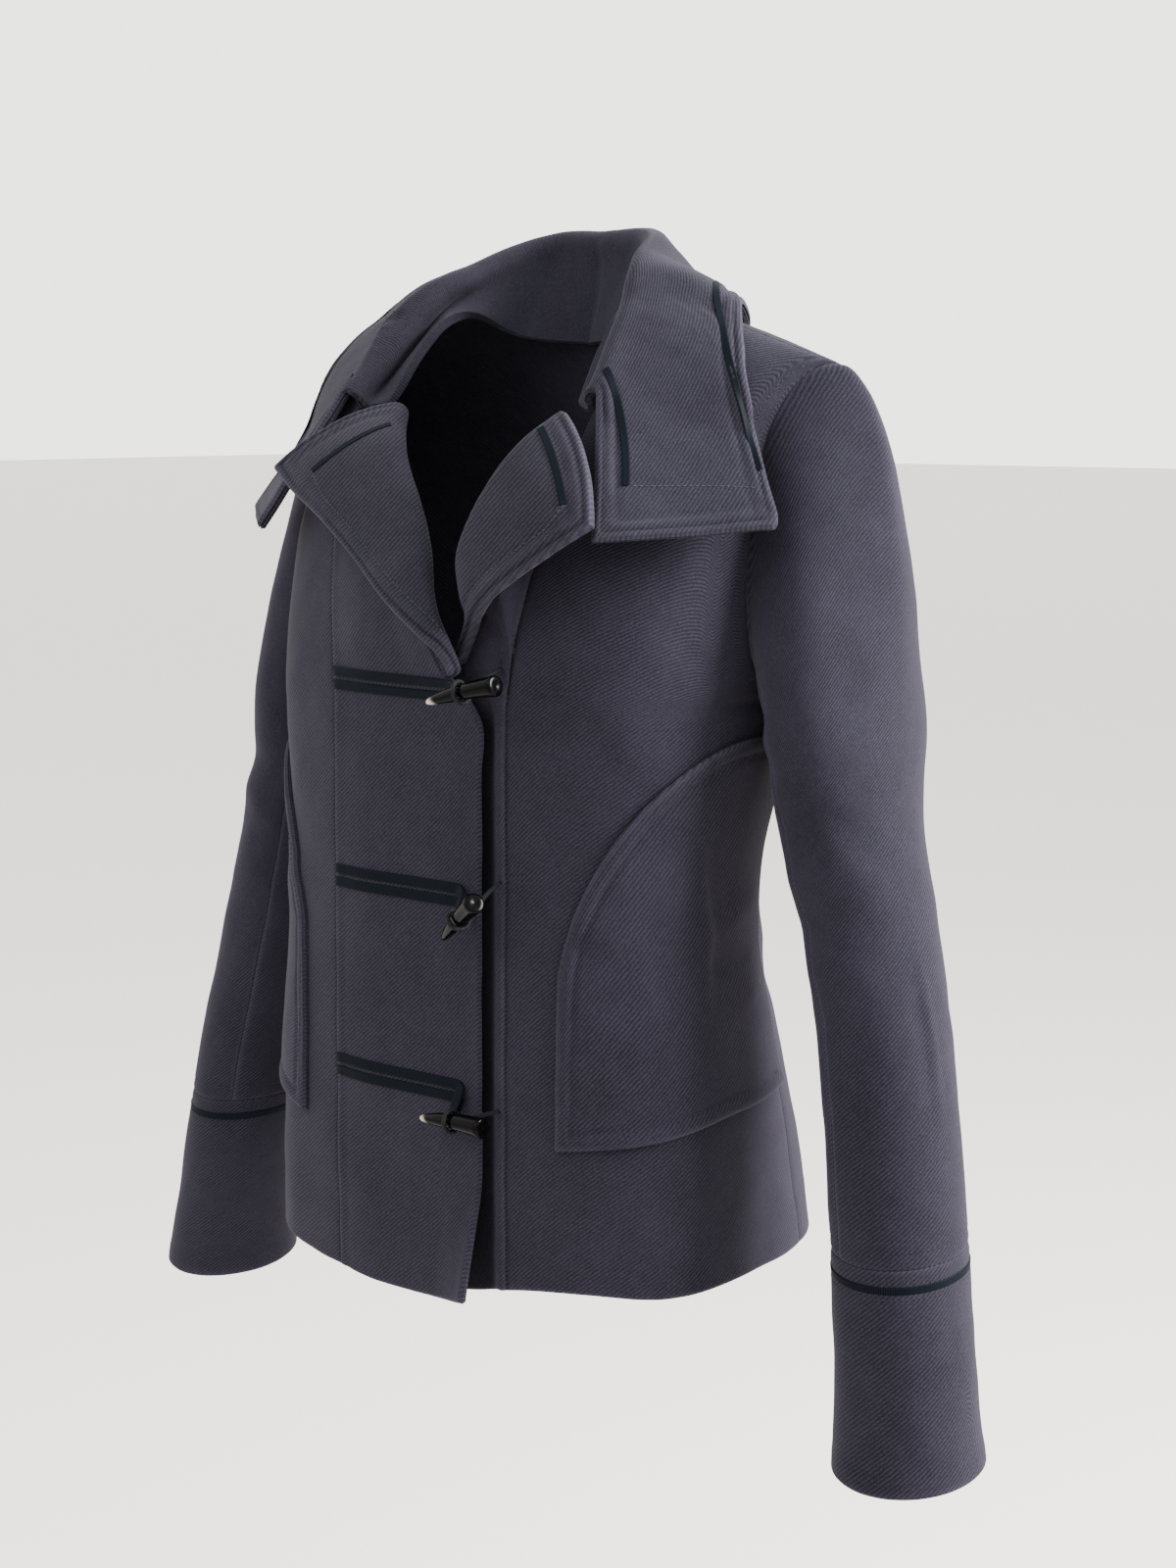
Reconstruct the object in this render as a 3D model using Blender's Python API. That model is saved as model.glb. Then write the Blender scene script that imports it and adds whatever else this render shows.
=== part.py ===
"""Short wool jacket: a worn, hollow jacket of thick twill cloth with three horn toggles.

Frame: metres, +Z up, the wearer faces -Y and the wearer's left is +X. The height 0 is the level where
the shoulder seams meet the neckline, and the X = Y = 0 line runs down the middle of the body.
"""
import math

import bmesh
import bpy
import numpy as np
from mathutils import Vector
from mathutils.bvhtree import BVHTree

MM = 0.001

# Driving sizes
ARMPIT_DEPTH = 235 * MM         # side of the neck down to the armpit
CHEST_HALF = 165 * MM           # half of the width across the chest
SHOULDER_HALF = 195 * MM        # centre to the shoulder tip
SHOULDER_DROP = 45 * MM         # fall of the shoulder seam
NECK_HALF = 75 * MM             # half of the neck opening at the shoulder seam
SHOULDER_Y = (20 * MM, 45 * MM)  # shoulder seam, front to back place at the neck and at the tip
FRONT_DEPTH = 120 * MM          # armpit level, body axis to the chest
BACK_DEPTH = 100 * MM           # armpit level, body axis to the back
ARMPIT_Y = 30 * MM              # body axis at the armpit level
BAND_HALF = 65 * MM             # centre to the seam of each front band
OVERLAP = 51 * MM               # right front edge, past the centre to the wearer's left
UNDERLAP = 20 * MM              # left front edge, past the centre to the wearer's right
WRAP_AIR = 1.4 * MM             # air between the crossing fronts
SIDE_TURN = 108.0               # degrees round the body from the centre front to the side seam

# Cloth
CLOTH = 3.0 * MM                # one layer of melton
BAND_CLOTH = 4.6 * MM           # a front band: cloth and its facing
LEAF = 5.6 * MM                 # a collar or lapel leaf: two layers
PATCH = 5.0 * MM                # a pocket patch with its turned edge
TAPE = 1.0 * MM                 # flat ribbon
ARMHOLE_GAP = 2.5 * MM           # between an armhole and its sleeve
SEAM_TURN = 0.12                # half a seam's gap on the body, in degrees round
SLEEVE_SEAM_TURN = 0.25         # half a seam's gap on a sleeve, in degrees round
SEAM_ALONG = 0.0015             # a sleeve's gap at the cuff, as a share of its length
LAY = 0.4 * MM                  # air under anything that lies on a panel
RIBBON_LAY = 2.1 * MM           # the same under a ribbon on a rolled leaf
LOOP_LAY = 1.4 * MM             # the same under a loop
PATCH_LAY = 0.9 * MM            # the same under a pocket patch
LEAF_LAY = 2.2 * MM             # the same under a collar or lapel leaf
LEAF_SOFT = 1.5 * MM            # how gently a leaf comes to rest on the body
SHOULDER_TOP = 1.998            # level where the front and the back end, just short of the shoulder seam
SHOULDER_GAP = 1.3 * MM         # from the shoulder seam to each of them

FRONT_POWER = 3.0               # squareness of the front half of a section
BACK_POWER = 2.2                # squareness of the back half of a section
FRONT_ARCH = 1.65               # roundness of the chest up to the shoulder
BACK_ARCH = 2.6                 # the same behind

# The body below the armpits, one row a level
BODY_COLUMNS = ("level", "half_width", "front_depth", "back_depth", "axis_y")
BODY = (
    (0.00, 0.170, 0.104, 0.148, 0.013),
    (0.20, 0.165, 0.102, 0.138, 0.010),
    (0.38, 0.157, 0.099, 0.125, 0.007),
    (0.56, 0.149, 0.096, 0.114, 0.004),
    (0.72, 0.150, 0.097, 0.112, 0.006),
    (0.85, 0.157, 0.107, 0.110, 0.016),
    (0.93, 0.1625, 0.1160, 0.1035, 0.0255),
    (1.00, CHEST_HALF, FRONT_DEPTH, BACK_DEPTH, ARMPIT_Y),
    (1.07, CHEST_HALF, FRONT_DEPTH, BACK_DEPTH, ARMPIT_Y),
)
# The body above the armpits: level 1 is the armpit, 2 is the shoulder seam
YOKE_COLUMNS = ("level", "front_half", "back_half")
YOKE = (
    (1.00, CHEST_HALF, CHEST_HALF),
    (1.15, 0.166, 0.178),
    (1.30, 0.167, 0.192),
    (1.50, 0.170, 0.203),
    (1.70, 0.178, 0.206),
    (1.85, 0.187, 0.203),
    (2.00, SHOULDER_HALF, SHOULDER_HALF),
)
# The hem's height, by degrees round the body
HEM = ((-180, -0.560), (-108, -0.562), (-60, -0.572), (-17, -0.581), (0, -0.581), (17, -0.569),
       (60, -0.566), (108, -0.560), (180, -0.560))
# The armhole's front and back edge: degrees round the body at each level
ARMHOLE_FRONT = ((1.0, 108), (1.03, 94), (1.10, 86), (1.22, 82), (1.40, 80), (1.60, 79), (1.80, 81), (2.0, 90))
ARMHOLE_BACK = ((1.0, 108), (1.03, 114), (1.10, 120), (1.22, 123), (1.40, 122), (1.60, 117), (1.80, 107),
                (2.0, 90))
# The left band's seam above the armpit level runs out under the collar
BAND_SEAM_TOP = ((1.0, 14.3), (1.15, 15.8), (1.30, 19.0), (1.50, 22.3), (1.70, 22.4), (1.85, 20.5), (2.0, 16.0))

# Sleeve rings below the armpit, one row a height
SLEEVE_COLUMNS = ("height", "centre_x", "centre_y", "half_across", "half_deep")
SLEEVE = (
    (-0.265, 0.2055, 0.0440, 0.0372, 0.0570),
    (-0.300, 0.2110, 0.0400, 0.0370, 0.0490),
    (-0.350, 0.2250, 0.0370, 0.0370, 0.0430),
    (-0.400, 0.2370, 0.0333, 0.0375, 0.0395),
    (-0.450, 0.2475, 0.0285, 0.0376, 0.0385),
    (-0.500, 0.2565, 0.0225, 0.0378, 0.0388),
    (-0.545, 0.2625, 0.0190, 0.0382, 0.0395),
    (-0.590, 0.2680, 0.0160, 0.0392, 0.0405),
    (-0.630, 0.2720, 0.0140, 0.0410, 0.0425),
    (-0.660, 0.2745, 0.0125, 0.0430, 0.0445),
)
SLEEVE_SLANT = 0.12             # fall of a cuff's ring towards its front
CUFF_SEAM_HEIGHT = -0.530
CUFF_HEM_HEIGHT = -0.652
RIGHT_SLEEVE_RISE = 0.028       # the right sleeve is pushed up the arm, as a share of its height below
SLEEVE_SEAMS = (118.0, 292.0)   # degrees round the sleeve of its front and its back seam
TOP_REACH = 0.27                # how far a cap line runs out sideways, for its length
FALL_REACH = 0.90               # how far it then runs straight down

# Fold of a collar or lapel: inner end, crest and outer edge, one row a station along the neck
COLLAR_BASE = (
    (0.00, (0.000, 0.070, -0.010)),
    (0.25, (0.043, 0.056, -0.002)),
    (0.45, (0.062, 0.026, 0.006)),
    (0.60, (0.067, 0.004, -0.012)),
    (0.75, (0.070, -0.013, -0.036)),
    (0.90, (0.072, -0.028, -0.056)),
    (1.00, (0.0735, -0.035, -0.066)),
)
COLLAR_CREST = (
    (0.00, (0.000, 0.079, 0.036)),
    (0.12, (0.034, 0.073, 0.037)),
    (0.28, (0.058, 0.050, 0.031)),
    (0.42, (0.067, 0.024, 0.019)),
    (0.54, (0.075, 0.006, 0.003)),
    (0.64, (0.079, -0.005, -0.011)),
    (0.74, (0.083, -0.017, -0.024)),
    (0.84, (0.087, -0.029, -0.037)),
    (0.92, (0.090, -0.040, -0.049)),
    (1.00, (0.092, -0.049, -0.059)),
)
COLLAR_CORNER = 0.76            # the station of the leaf's outer corner
COLLAR_EDGE_BACK = (
    (0.00, (0.000, 0.124, -0.045)),
    (0.18, (0.057, 0.117, -0.038)),
    (0.36, (0.106, 0.084, -0.020)),
    (0.50, (0.137, 0.033, -0.012)),
    (0.60, (0.158, 0.009, -0.060)),
    (0.68, (0.181, -0.007, -0.095)),
    (0.76, (0.204, -0.021, -0.131)),
)
COLLAR_EDGE_FRONT = (
    (0.76, (0.204, -0.021, -0.131)),
    (0.88, (0.167, -0.056, -0.1355)),
    (1.00, (0.130, -0.090, -0.1385)),
)
COLLAR_FOLD = 8.5 * MM          # radius of the roll
RIGHT_CREST_DROP = 8 * MM       # the collar sits lower on the right of the neck

LAPEL_COLUMNS = ("station", "crest", "edge")
LAPEL_LEFT = (
    (0.00, (0.0880, -0.0600, -0.0690), (0.1407, -0.1013, -0.1282)),
    (0.17, (0.0770, -0.0850, -0.0860), (0.1300, -0.1080, -0.1372)),
    (0.34, (0.0670, -0.0980, -0.1060), (0.1170, -0.1120, -0.1462)),
    (0.52, (0.0570, -0.1050, -0.1260), (0.1000, -0.1150, -0.1572)),
    (0.70, (0.0480, -0.1060, -0.1470), (0.0799, -0.1150, -0.1701)),
    (0.86, (0.0430, -0.0990, -0.1660), (0.0640, -0.1080, -0.1820)),
    (1.00, (0.0400, -0.0915, -0.1800), (0.0530, -0.1000, -0.1900)),
)
LAPEL_RIGHT = (
    (0.00, (-0.0540, -0.0380, -0.0640), (-0.1182, -0.0900, -0.1004)),
    (0.17, (-0.0250, -0.0730, -0.0880), (-0.0900, -0.1010, -0.1160)),
    (0.34, (-0.0050, -0.0880, -0.1090), (-0.0558, -0.1100, -0.1335)),
    (0.52, (0.0150, -0.1000, -0.1310), (-0.0240, -0.1160, -0.1550)),
    (0.70, (0.0280, -0.1090, -0.1520), (0.0060, -0.1235, -0.1760)),
    (0.86, (0.0360, -0.1130, -0.1790), (0.0290, -0.1230, -0.1925)),
    (1.00, (0.0455, -0.1100, -0.2030), (0.0440, -0.1160, -0.2065)),
)
LAPEL_FOLD = 7.6 * MM
LAPEL_FOLD_LOW = 6.2 * MM       # the same at its lower end
LAPEL_STEADY = 0.60             # station below which a lapel keeps its lean
LAPEL_TOP = 0.035               # station of a lapel's upper end, which leaves the notch open
LAPEL_FLAP = 4 * MM             # how far the facing goes down inside the roll
FLAP_GAP = (6.5 * MM, 10.0 * MM)  # from the facing's end to the band's edge, on the right and the left
BREAK_GAP = 1.5 * MM            # the same, on top, where the roll ends
FLAP_LEAN = 0.6                 # how far it leans in, as a share of the roll's radius
FOLD_START, FOLD_END = 0.20, 0.42
COLLAR_SPRING = 6.0             # degrees that a leaf leaves its roll above the straight way to its edge
LAPEL_SPRING = 14.0
BAND_TURN_OFF = 0.88            # level where the bands start to follow their lapels
BAND_LEAVE = (0.96, 0.97)       # levels where the left and the right free edge leave their lower line
BAND_TOP = (1.50, 1.36)         # levels where the right and the left band end, short of the notch
BAND_END_STATION = (0.14, 0.30)  # the lapels' stations there
BAND_ROLL = 0.36                # share of a band's upper part below the lapel's roll

# The pocket patch
PATCH_FRONT_X = 99 * MM
PATCH_BOTTOM = (0.25, 0.30)     # levels of its bottom edge, in front and at the side seam
PATCH_TOP = (0.54, 0.945)       # levels where its front edge starts to curve, and of its top
PATCH_CURVE_SHARE = 0.75
PATCH_CURVE_POWER = 1.6

# Loops and toggles, top to bottom
LOOP_HEIGHTS = (-0.2255, -0.3425, -0.4565)
LOOP_START_X = -0.0675          # on the right band's seam
LOOP_END_X = 0.041              # under the toggle's waist
LOOP_SPREAD = 3.9 * MM          # from the middle of a loop to the middle of each of its two tapes
LOOP_TAPE = (6.2 * MM, 1.2 * MM)  # width and thickness
TOGGLE_ENDS = (                 # flat end, then point
    ((0.0880, -0.1212, -0.2180), (0.0355, -0.1212, -0.2285)),
    ((0.0765, -0.1270, -0.3380), (0.0360, -0.1100, -0.3640)),
    ((0.0690, -0.1130, -0.4700), (0.0190, -0.1110, -0.4700)),
)
TOGGLE_BOW = 4 * MM             # sag of a toggle's point
CORD_RADIUS = 1.3 * MM
CORD_LAY = 1.8 * MM             # air under a cord's end
WAIST_RADIUS = 4.4 * MM
CORD_ROOT = (0.0640, 0.0050)    # where a toggle's cord leaves the left band's seam: x, and height above it

# Ribbons let into the collar, lapels and cuffs
RIBBON_WIDTH = 4.5 * MM
RIBBON_INSET = 20 * MM          # from a leaf's edge to its ribbon
EDGE_RIBBON_REACH = 0.73        # station where the ribbon along the collar's edge ends
COLLAR_END_RIBBON = (np.array((0.920, 0.41)), np.array((0.952, 0.82)))  # ends of the ribbon: station and place
LAPEL_RIBBON = (np.array((0.09, 0.42)), np.array((0.14, 0.84)))
CUFF_RIBBON = 0.09              # place of the ribbon down the cuff, as a share of its length

# A horn toggle: share of its length from the flat end, and radius
HORN_PROFILE = ((0.00, 0.0052), (0.02, 0.0058), (0.12, 0.0056), (0.30, 0.0053), (0.44, 0.0050), (0.50, 0.0043),
                (0.56, 0.0049), (0.70, 0.0042), (0.84, 0.0031), (0.94, 0.0020), (1.00, 0.0010))

# Faces across and up each piece
SIDE_GRID = (10, 19)
BACK_GRID = (18, 19)
BAND_GRID = (6, 28)
TOP_GRID = (10, 16)
UNDER_GRID = (8, 16)
CUFF_GRID = (20, 4)
COLLAR_GRID = (44, 14)
LAPEL_GRID = (10, 12)
PATCH_GRID = (9, 8)
BODY_TREE_GRID = (24, 40)        # the finer faces that the leaves are laid on
LOOP_STEPS = 28
EDGE_RIBBON_STEPS = 36
END_RIBBON_STEPS = 8
CUFF_RIBBON_SIDES = 24
CORD_STEPS = 22
HORN_SIDES = 12

MATERIALS = {
    "wool": ((0.052, 0.049, 0.058), 0.88, 0.0),
    "wool_facing": ((0.046, 0.043, 0.052), 0.86, 0.0),
    "ribbon": ((0.010, 0.020, 0.030), 0.60, 0.0),
    "horn": ((0.012, 0.011, 0.012), 0.28, 0.0),
    "cord": ((0.012, 0.014, 0.018), 0.75, 0.0),
}


def clear_scene():
    for obj in list(bpy.data.objects):
        bpy.data.objects.remove(obj, do_unlink=True)


def make_material(name):
    color, roughness, metallic = MATERIALS[name]
    material = bpy.data.materials.new(name)
    material.use_nodes = True
    shader = material.node_tree.nodes["Principled BSDF"]
    shader.inputs["Base Color"].default_value = (*color, 1.0)
    shader.inputs["Roughness"].default_value = roughness
    shader.inputs["Metallic"].default_value = metallic
    return material


def smooth_at(keys, values, at):
    """A smooth curve through values (numbers or points) given at rising keys."""
    keys = np.asarray(keys, float)
    values = np.asarray(values, float)
    at = min(max(at, keys[0]), keys[-1])
    k = min(max(int(np.searchsorted(keys, at, side="right")) - 1, 0), len(keys) - 2)
    span = keys[k + 1] - keys[k]
    chord = (values[k + 1] - values[k]) / span
    before = (values[k] - values[k - 1]) / (keys[k] - keys[k - 1]) if k > 0 else chord
    after = (values[k + 2] - values[k + 1]) / (keys[k + 2] - keys[k + 1]) if k + 2 < len(keys) else chord
    start = (before + chord) / 2
    end = (chord + after) / 2
    t = (at - keys[k]) / span
    return (values[k] * (2 * t**3 - 3 * t**2 + 1) + start * span * (t**3 - 2 * t**2 + t)
            + values[k + 1] * (3 * t**2 - 2 * t**3) + end * span * (t**3 - t**2))


def table_row(table, at):
    """One smooth row of a table at a value of its first column."""
    return smooth_at([row[0] for row in table], [row[1:] for row in table], at)


def step_between(low, high, value):
    t = min(max((value - low) / (high - low), 0.0), 1.0)
    return t * t * (3 - 2 * t)


def mix(a, b, t):
    return a + (b - a) * t


def signed_power(value, power):
    return math.copysign(abs(value) ** power, value)


def body_point(turn, level):
    """A point on the outside of the body: turn in degrees from the centre front towards the wearer's left,
    level 0 at the hem, 1 at the armpits and 2 on the shoulder seam."""
    turn = (turn + 180.0) % 360.0 - 180.0
    angle = math.radians(turn)
    front = abs(turn) <= 90.0
    power = FRONT_POWER if front else BACK_POWER
    across = signed_power(math.sin(angle), 2 / power)
    along = abs(math.cos(angle)) ** (2 / power)
    if level <= 1.0:
        half, front_depth, back_depth, axis_y = table_row(BODY, level)
        depth = -front_depth if front else back_depth
        hem = smooth_at([row[0] for row in HEM], [row[1] for row in HEM], turn)
        return np.array([half * across, axis_y + depth * along, mix(hem, -ARMPIT_DEPTH, level)])
    front_half, back_half = table_row(YOKE, level)
    side_blend = step_between(80.0, 100.0, abs(turn))
    half = mix(front_half, back_half, side_blend)
    x = half * across
    climb = math.radians((level - 1.0) * 90.0)
    arch = FRONT_ARCH if front else BACK_ARCH
    up = math.sin(climb) ** (2 / arch)
    out = max(math.cos(climb), 0.0) ** (2 / arch)
    seam = (abs(x) - NECK_HALF) / (SHOULDER_HALF - NECK_HALF)
    ridge_y = mix(*SHOULDER_Y, max(seam, -0.6))
    ridge_z = -SHOULDER_DROP * max(seam, 0.0)
    axis_y = mix(ARMPIT_Y, ridge_y, up)
    depth = -FRONT_DEPTH if front else BACK_DEPTH
    return np.array([x, axis_y + depth * out * along, mix(-ARMPIT_DEPTH, ridge_z, up)])


def right_front_point(turn, level):
    """The right front, which rises off the body to lie over the left front."""
    point = body_point(turn, level)
    lift = (BAND_CLOTH + WRAP_AIR) * step_between(-0.105, -0.028, point[0])
    swing = 16 * MM * step_between(0.015, 0.075, point[0]) * step_between(0.22, 0.0, level)
    point[1] -= lift + swing
    return point


def normal_of(surface, u, v):
    """Unit normal of surface(u, v) by small steps, facing out where u runs left to right and v runs up."""
    du = 0.004
    across = surface(u + du, v) - surface(u - du, v)
    up = surface(u, v + du) - surface(u, v - du)
    normal = np.cross(across, up)
    return normal / np.linalg.norm(normal)


def link(name, mesh, material, collection):
    obj = bpy.data.objects.new(name, mesh)
    obj.data.materials.append(material)
    collection.objects.link(obj)
    return obj


def closed_sheet(name, outer, inner, material, collection):
    """A wall between two grids of points, closed round its rim. Grids are [row][column] of points."""
    rows, columns = outer.shape[:2]
    count = rows * columns
    faces = []
    for r in range(rows - 1):
        for c in range(columns - 1):
            a, b = r * columns + c, r * columns + c + 1
            d, e = a + columns, b + columns
            faces.append((a, b, e, d))
            faces.append((count + a, count + d, count + e, count + b))
    rim = [(0, c) for c in range(columns)] + [(r, columns - 1) for r in range(1, rows)]
    rim += [(rows - 1, c) for c in range(columns - 2, -1, -1)] + [(r, 0) for r in range(rows - 2, 0, -1)]
    ring = [r * columns + c for r, c in rim]
    for i, a in enumerate(ring):
        b = ring[(i + 1) % len(ring)]
        faces.append((b, a, count + a, count + b))
    points = [tuple(p) for p in outer.reshape(-1, 3)] + [tuple(p) for p in inner.reshape(-1, 3)]
    mesh = bpy.data.meshes.new(name)
    mesh.from_pydata(points, [], faces)
    mesh.validate()
    mesh.shade_smooth()
    mesh.set_sharp_from_angle(angle=math.radians(50))
    return link(name, mesh, material, collection)


def spread(count, bunch=0.0):
    """Parameters 0 to 1, drawn towards both ends by bunch."""
    steps = np.linspace(0, 1, count + 1)
    return (1 - bunch) * steps + bunch * (1 - np.cos(np.pi * steps)) / 2


def panel(name, surface, across, up, thickness, material, collection, above=None, flip=False):
    """A cloth panel on surface(u, v): its outside lies above the surface by above(u, v), or on it, and its
    inside lies a thickness below the surface (or above it, where the thickness is negative)."""
    outer = np.zeros((up + 1, across + 1, 3))
    inner = np.zeros_like(outer)
    for r, v in enumerate(spread(up)):
        for c, u in enumerate(spread(across)):
            point = surface(u, v)
            normal = normal_of(surface, u, v) * (-1 if flip else 1)
            outer[r, c] = point + normal * (above(u, v) if above else 0.0)
            inner[r, c] = point - normal * thickness
    if flip:
        outer, inner = outer[:, ::-1], inner[:, ::-1]
    return closed_sheet(name, outer, inner, material, collection)


def band_seam_turn(level):
    """Degrees round the body of the left band's seam."""
    if level >= 1.0:
        return float(table_row(BAND_SEAM_TOP, level)[0])
    half = table_row(BODY, level)[0]
    return math.degrees(math.asin((BAND_HALF / half) ** (FRONT_POWER / 2)))


def turn_at_x(x, level):
    half = table_row(BODY, level)[0] if level <= 1.0 else table_row(YOKE, level)[0]
    return math.degrees(math.asin(signed_power(x / half, FRONT_POWER / 2)))


def front_outer_turn(level):
    return SIDE_TURN if level <= 1.0 else float(table_row(ARMHOLE_FRONT, level)[0])


def back_outer_turn(level):
    return SIDE_TURN if level <= 1.0 else float(table_row(ARMHOLE_BACK, level)[0])


def neck_level(turn):
    """The level where the back neckline cuts the body, by degrees round."""
    return 2.0 - 0.33 * step_between(157.0, 178.0, 180.0 - abs(180.0 - turn % 360.0))


def panel_level(v, top=2.0):
    """Even rows: below the armpit and above it, each with its share of v."""
    share = 0.62
    return v / share if v <= share else 1.0 + (top - 1.0) * (v - share) / (1 - share)


def front_side_surface(side):
    point_at = body_point if side > 0 else right_front_point

    def surface(u, v):
        level = panel_level(v, SHOULDER_TOP)
        start, end = band_seam_turn(level) + SEAM_TURN, front_outer_turn(level) - SEAM_TURN
        point = point_at(side * mix(start, end, u), level)
        point[1] -= SHOULDER_GAP * step_between(1.8, 2.0, level)
        return point
    return surface


def back_surface(u, v):
    side = back_outer_turn(panel_level(v)) + SEAM_TURN
    level = panel_level(v, neck_level(90.0 + 180.0 * u))
    point = body_point(mix(side, 360.0 - side, u), min(level, SHOULDER_TOP))
    point[1] += SHOULDER_GAP * step_between(1.8, 2.0, level)
    return point


def unit(vector):
    return vector / np.linalg.norm(vector)


def fold_point(base, crest, edge, along, radius, spring, q):
    """A point of a folded leaf: q is 0 on its inner end, 1 on its outer edge, with a round roll between.
    The leaf leaves the roll a few degrees (spring) above the straight way to its edge."""
    up = crest - (base + edge) / 2
    up = unit(up - along * np.dot(up, along))
    aside = np.cross(along, up)
    aside = aside * math.copysign(1.0, np.dot(aside, edge - base))
    centre = crest - up * radius
    reach = edge - centre
    leaf_turn = math.atan2(np.dot(reach, aside), np.dot(reach, up)) - math.radians(spring)
    leaf_turn = min(max(leaf_turn, math.radians(60)), math.pi)
    near = centre - aside * radius
    if q < FOLD_START:
        return hermite(base, near, unit(near - base), up, np.linalg.norm(near - base), q / FOLD_START)
    turn = leaf_turn * min((q - FOLD_START) / (FOLD_END - FOLD_START), 1.0)
    point = centre + radius * (up * math.sin(turn) - aside * math.cos(turn))
    if q <= FOLD_END:
        return point
    way = aside * math.sin(turn) + up * math.cos(turn)
    straight = edge - point
    skew = abs(np.dot(unit(straight), along))
    way = unit(mix(way, unit(straight), skew))
    drop = unit(unit(straight) * 2 - way)
    return hermite(point, edge, way, drop, np.linalg.norm(straight), (q - FOLD_END) / (1 - FOLD_END))


def hermite(start, end, start_way, end_way, reach, t):
    """A smooth run from start to end that leaves and arrives along two unit ways."""
    return (start * (2 * t**3 - 3 * t**2 + 1) + start_way * reach * (t**3 - 2 * t**2 + t)
            + end * (3 * t**2 - 2 * t**3) + end_way * reach * (t**3 - t**2))


def points_at(table, station, column=1):
    return smooth_at([row[0] for row in table], [row[column] for row in table], station)


def collar_edge(station):
    if station <= COLLAR_CORNER:
        return points_at(COLLAR_EDGE_BACK, station)
    return points_at(COLLAR_EDGE_FRONT, station)


def body_tree():
    """The outside of the fronts, bands and back, for laying the collar and lapels on."""
    points, faces = [], []
    across, up = BODY_TREE_GRID
    sheets = ((front_side_surface(1), False), (front_side_surface(-1), True), (back_surface, False),
              (band_surface(1), False), (band_surface(-1), False))
    for surface, flip in sheets:
        first = len(points)
        points += [surface(c / across, r / up) for r in range(up + 1) for c in range(across + 1)]
        for r in range(up):
            for c in range(across):
                a = first + r * (across + 1) + c
                face = (a, a + 1, a + across + 2, a + across + 1)
                faces.append(face[::-1] if flip else face)
    return BVHTree.FromPolygons([tuple(p) for p in points], faces)


def laid(tree, point, v):
    """A leaf's point, brought gently up off the body where it would come too near. v is its place on the
    leaf. Nothing is moved on the stand or the roll, or where the nearest point is an edge of the body."""
    weight = step_between(FOLD_START + 0.08, FOLD_END + 0.02, v)
    if weight == 0.0:
        return point
    near, normal, _, distance = tree.find_nearest(Vector(point))
    height = (Vector(point) - near).dot(normal)
    weight *= step_between(0.35, 0.80, abs(height) / max(distance, 1e-6))
    short = LEAF + LEAF_LAY - height
    push = (short + math.sqrt(short * short + LEAF_SOFT ** 2)) / 2
    return point + np.array(normal) * push * weight


def on_body(tree, surface):
    def laid_surface(u, v):
        return laid(tree, surface(u, v), v)
    return laid_surface


def collar_surface(u, v):
    """u runs 0 to 1 from the right front end round the back to the left front end; v from stand to edge."""
    station = min(abs(2 * u - 1), 1.0)
    step = 0.01
    ahead, behind = min(station + step, 1.0), max(station - step, 0.0)
    along = points_at(COLLAR_CREST, ahead) - points_at(COLLAR_CREST, behind)
    if station < step:
        along = np.array([1.0, 0.0, 0.0])
    crest = points_at(COLLAR_CREST, station)
    if u < 0.5:
        crest[2] -= RIGHT_CREST_DROP * step_between(0.05, 0.40, station) * step_between(1.0, 0.80, station)
    point = fold_point(points_at(COLLAR_BASE, station), crest, collar_edge(station), unit(along), COLLAR_FOLD,
                       COLLAR_SPRING, v)
    return point * (math.copysign(1.0, 2 * u - 1), 1, 1)


def lapel_frame(table, station):
    """Crest, edge, way along the roll, way up out of the roll and way out of the leaf's face."""
    crest, edge = points_at(table, station), points_at(table, station, 2)
    step = 0.02
    along = unit(points_at(table, min(station + step, 1.0)) - points_at(table, max(station - step, 0.0)))
    steady = min(station, LAPEL_STEADY)
    up = points_at(table, steady) - points_at(table, steady, 2)
    up = unit(up - along * np.dot(up, along))
    aside = np.cross(along, up)
    aside = aside * math.copysign(1.0, -aside[1])
    return crest, edge, along, up, aside


def lapel_surface(table):
    """u runs down the roll from the notch to the front edge; v from the facing inside to the leaf's edge."""
    def surface(u, v):
        station = mix(LAPEL_TOP, 1.0, min(max(u, 0.0), 1.0))
        crest, edge, along, up, aside = lapel_frame(table, station)
        radius = mix(LAPEL_FOLD, LAPEL_FOLD_LOW, station)
        base = crest - up * (LAPEL_FLAP + radius) - aside * (1 + FLAP_LEAN) * radius
        return fold_point(base, crest, edge, along, radius, LAPEL_SPRING, v)
    return surface


def under_flap(table, station):
    """The band's edge, where it meets the end of the lapel's facing inside the roll."""
    crest, edge, along, up, aside = lapel_frame(table, station)
    radius = mix(LAPEL_FOLD, LAPEL_FOLD_LOW, station)
    gap = FLAP_GAP[table is LAPEL_LEFT] + BREAK_GAP * step_between(0.70, 0.95, station)
    return crest - up * (LAPEL_FLAP + radius + gap) - aside * ((1 + FLAP_LEAN) * radius - LEAF + BREAK_GAP)


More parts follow.
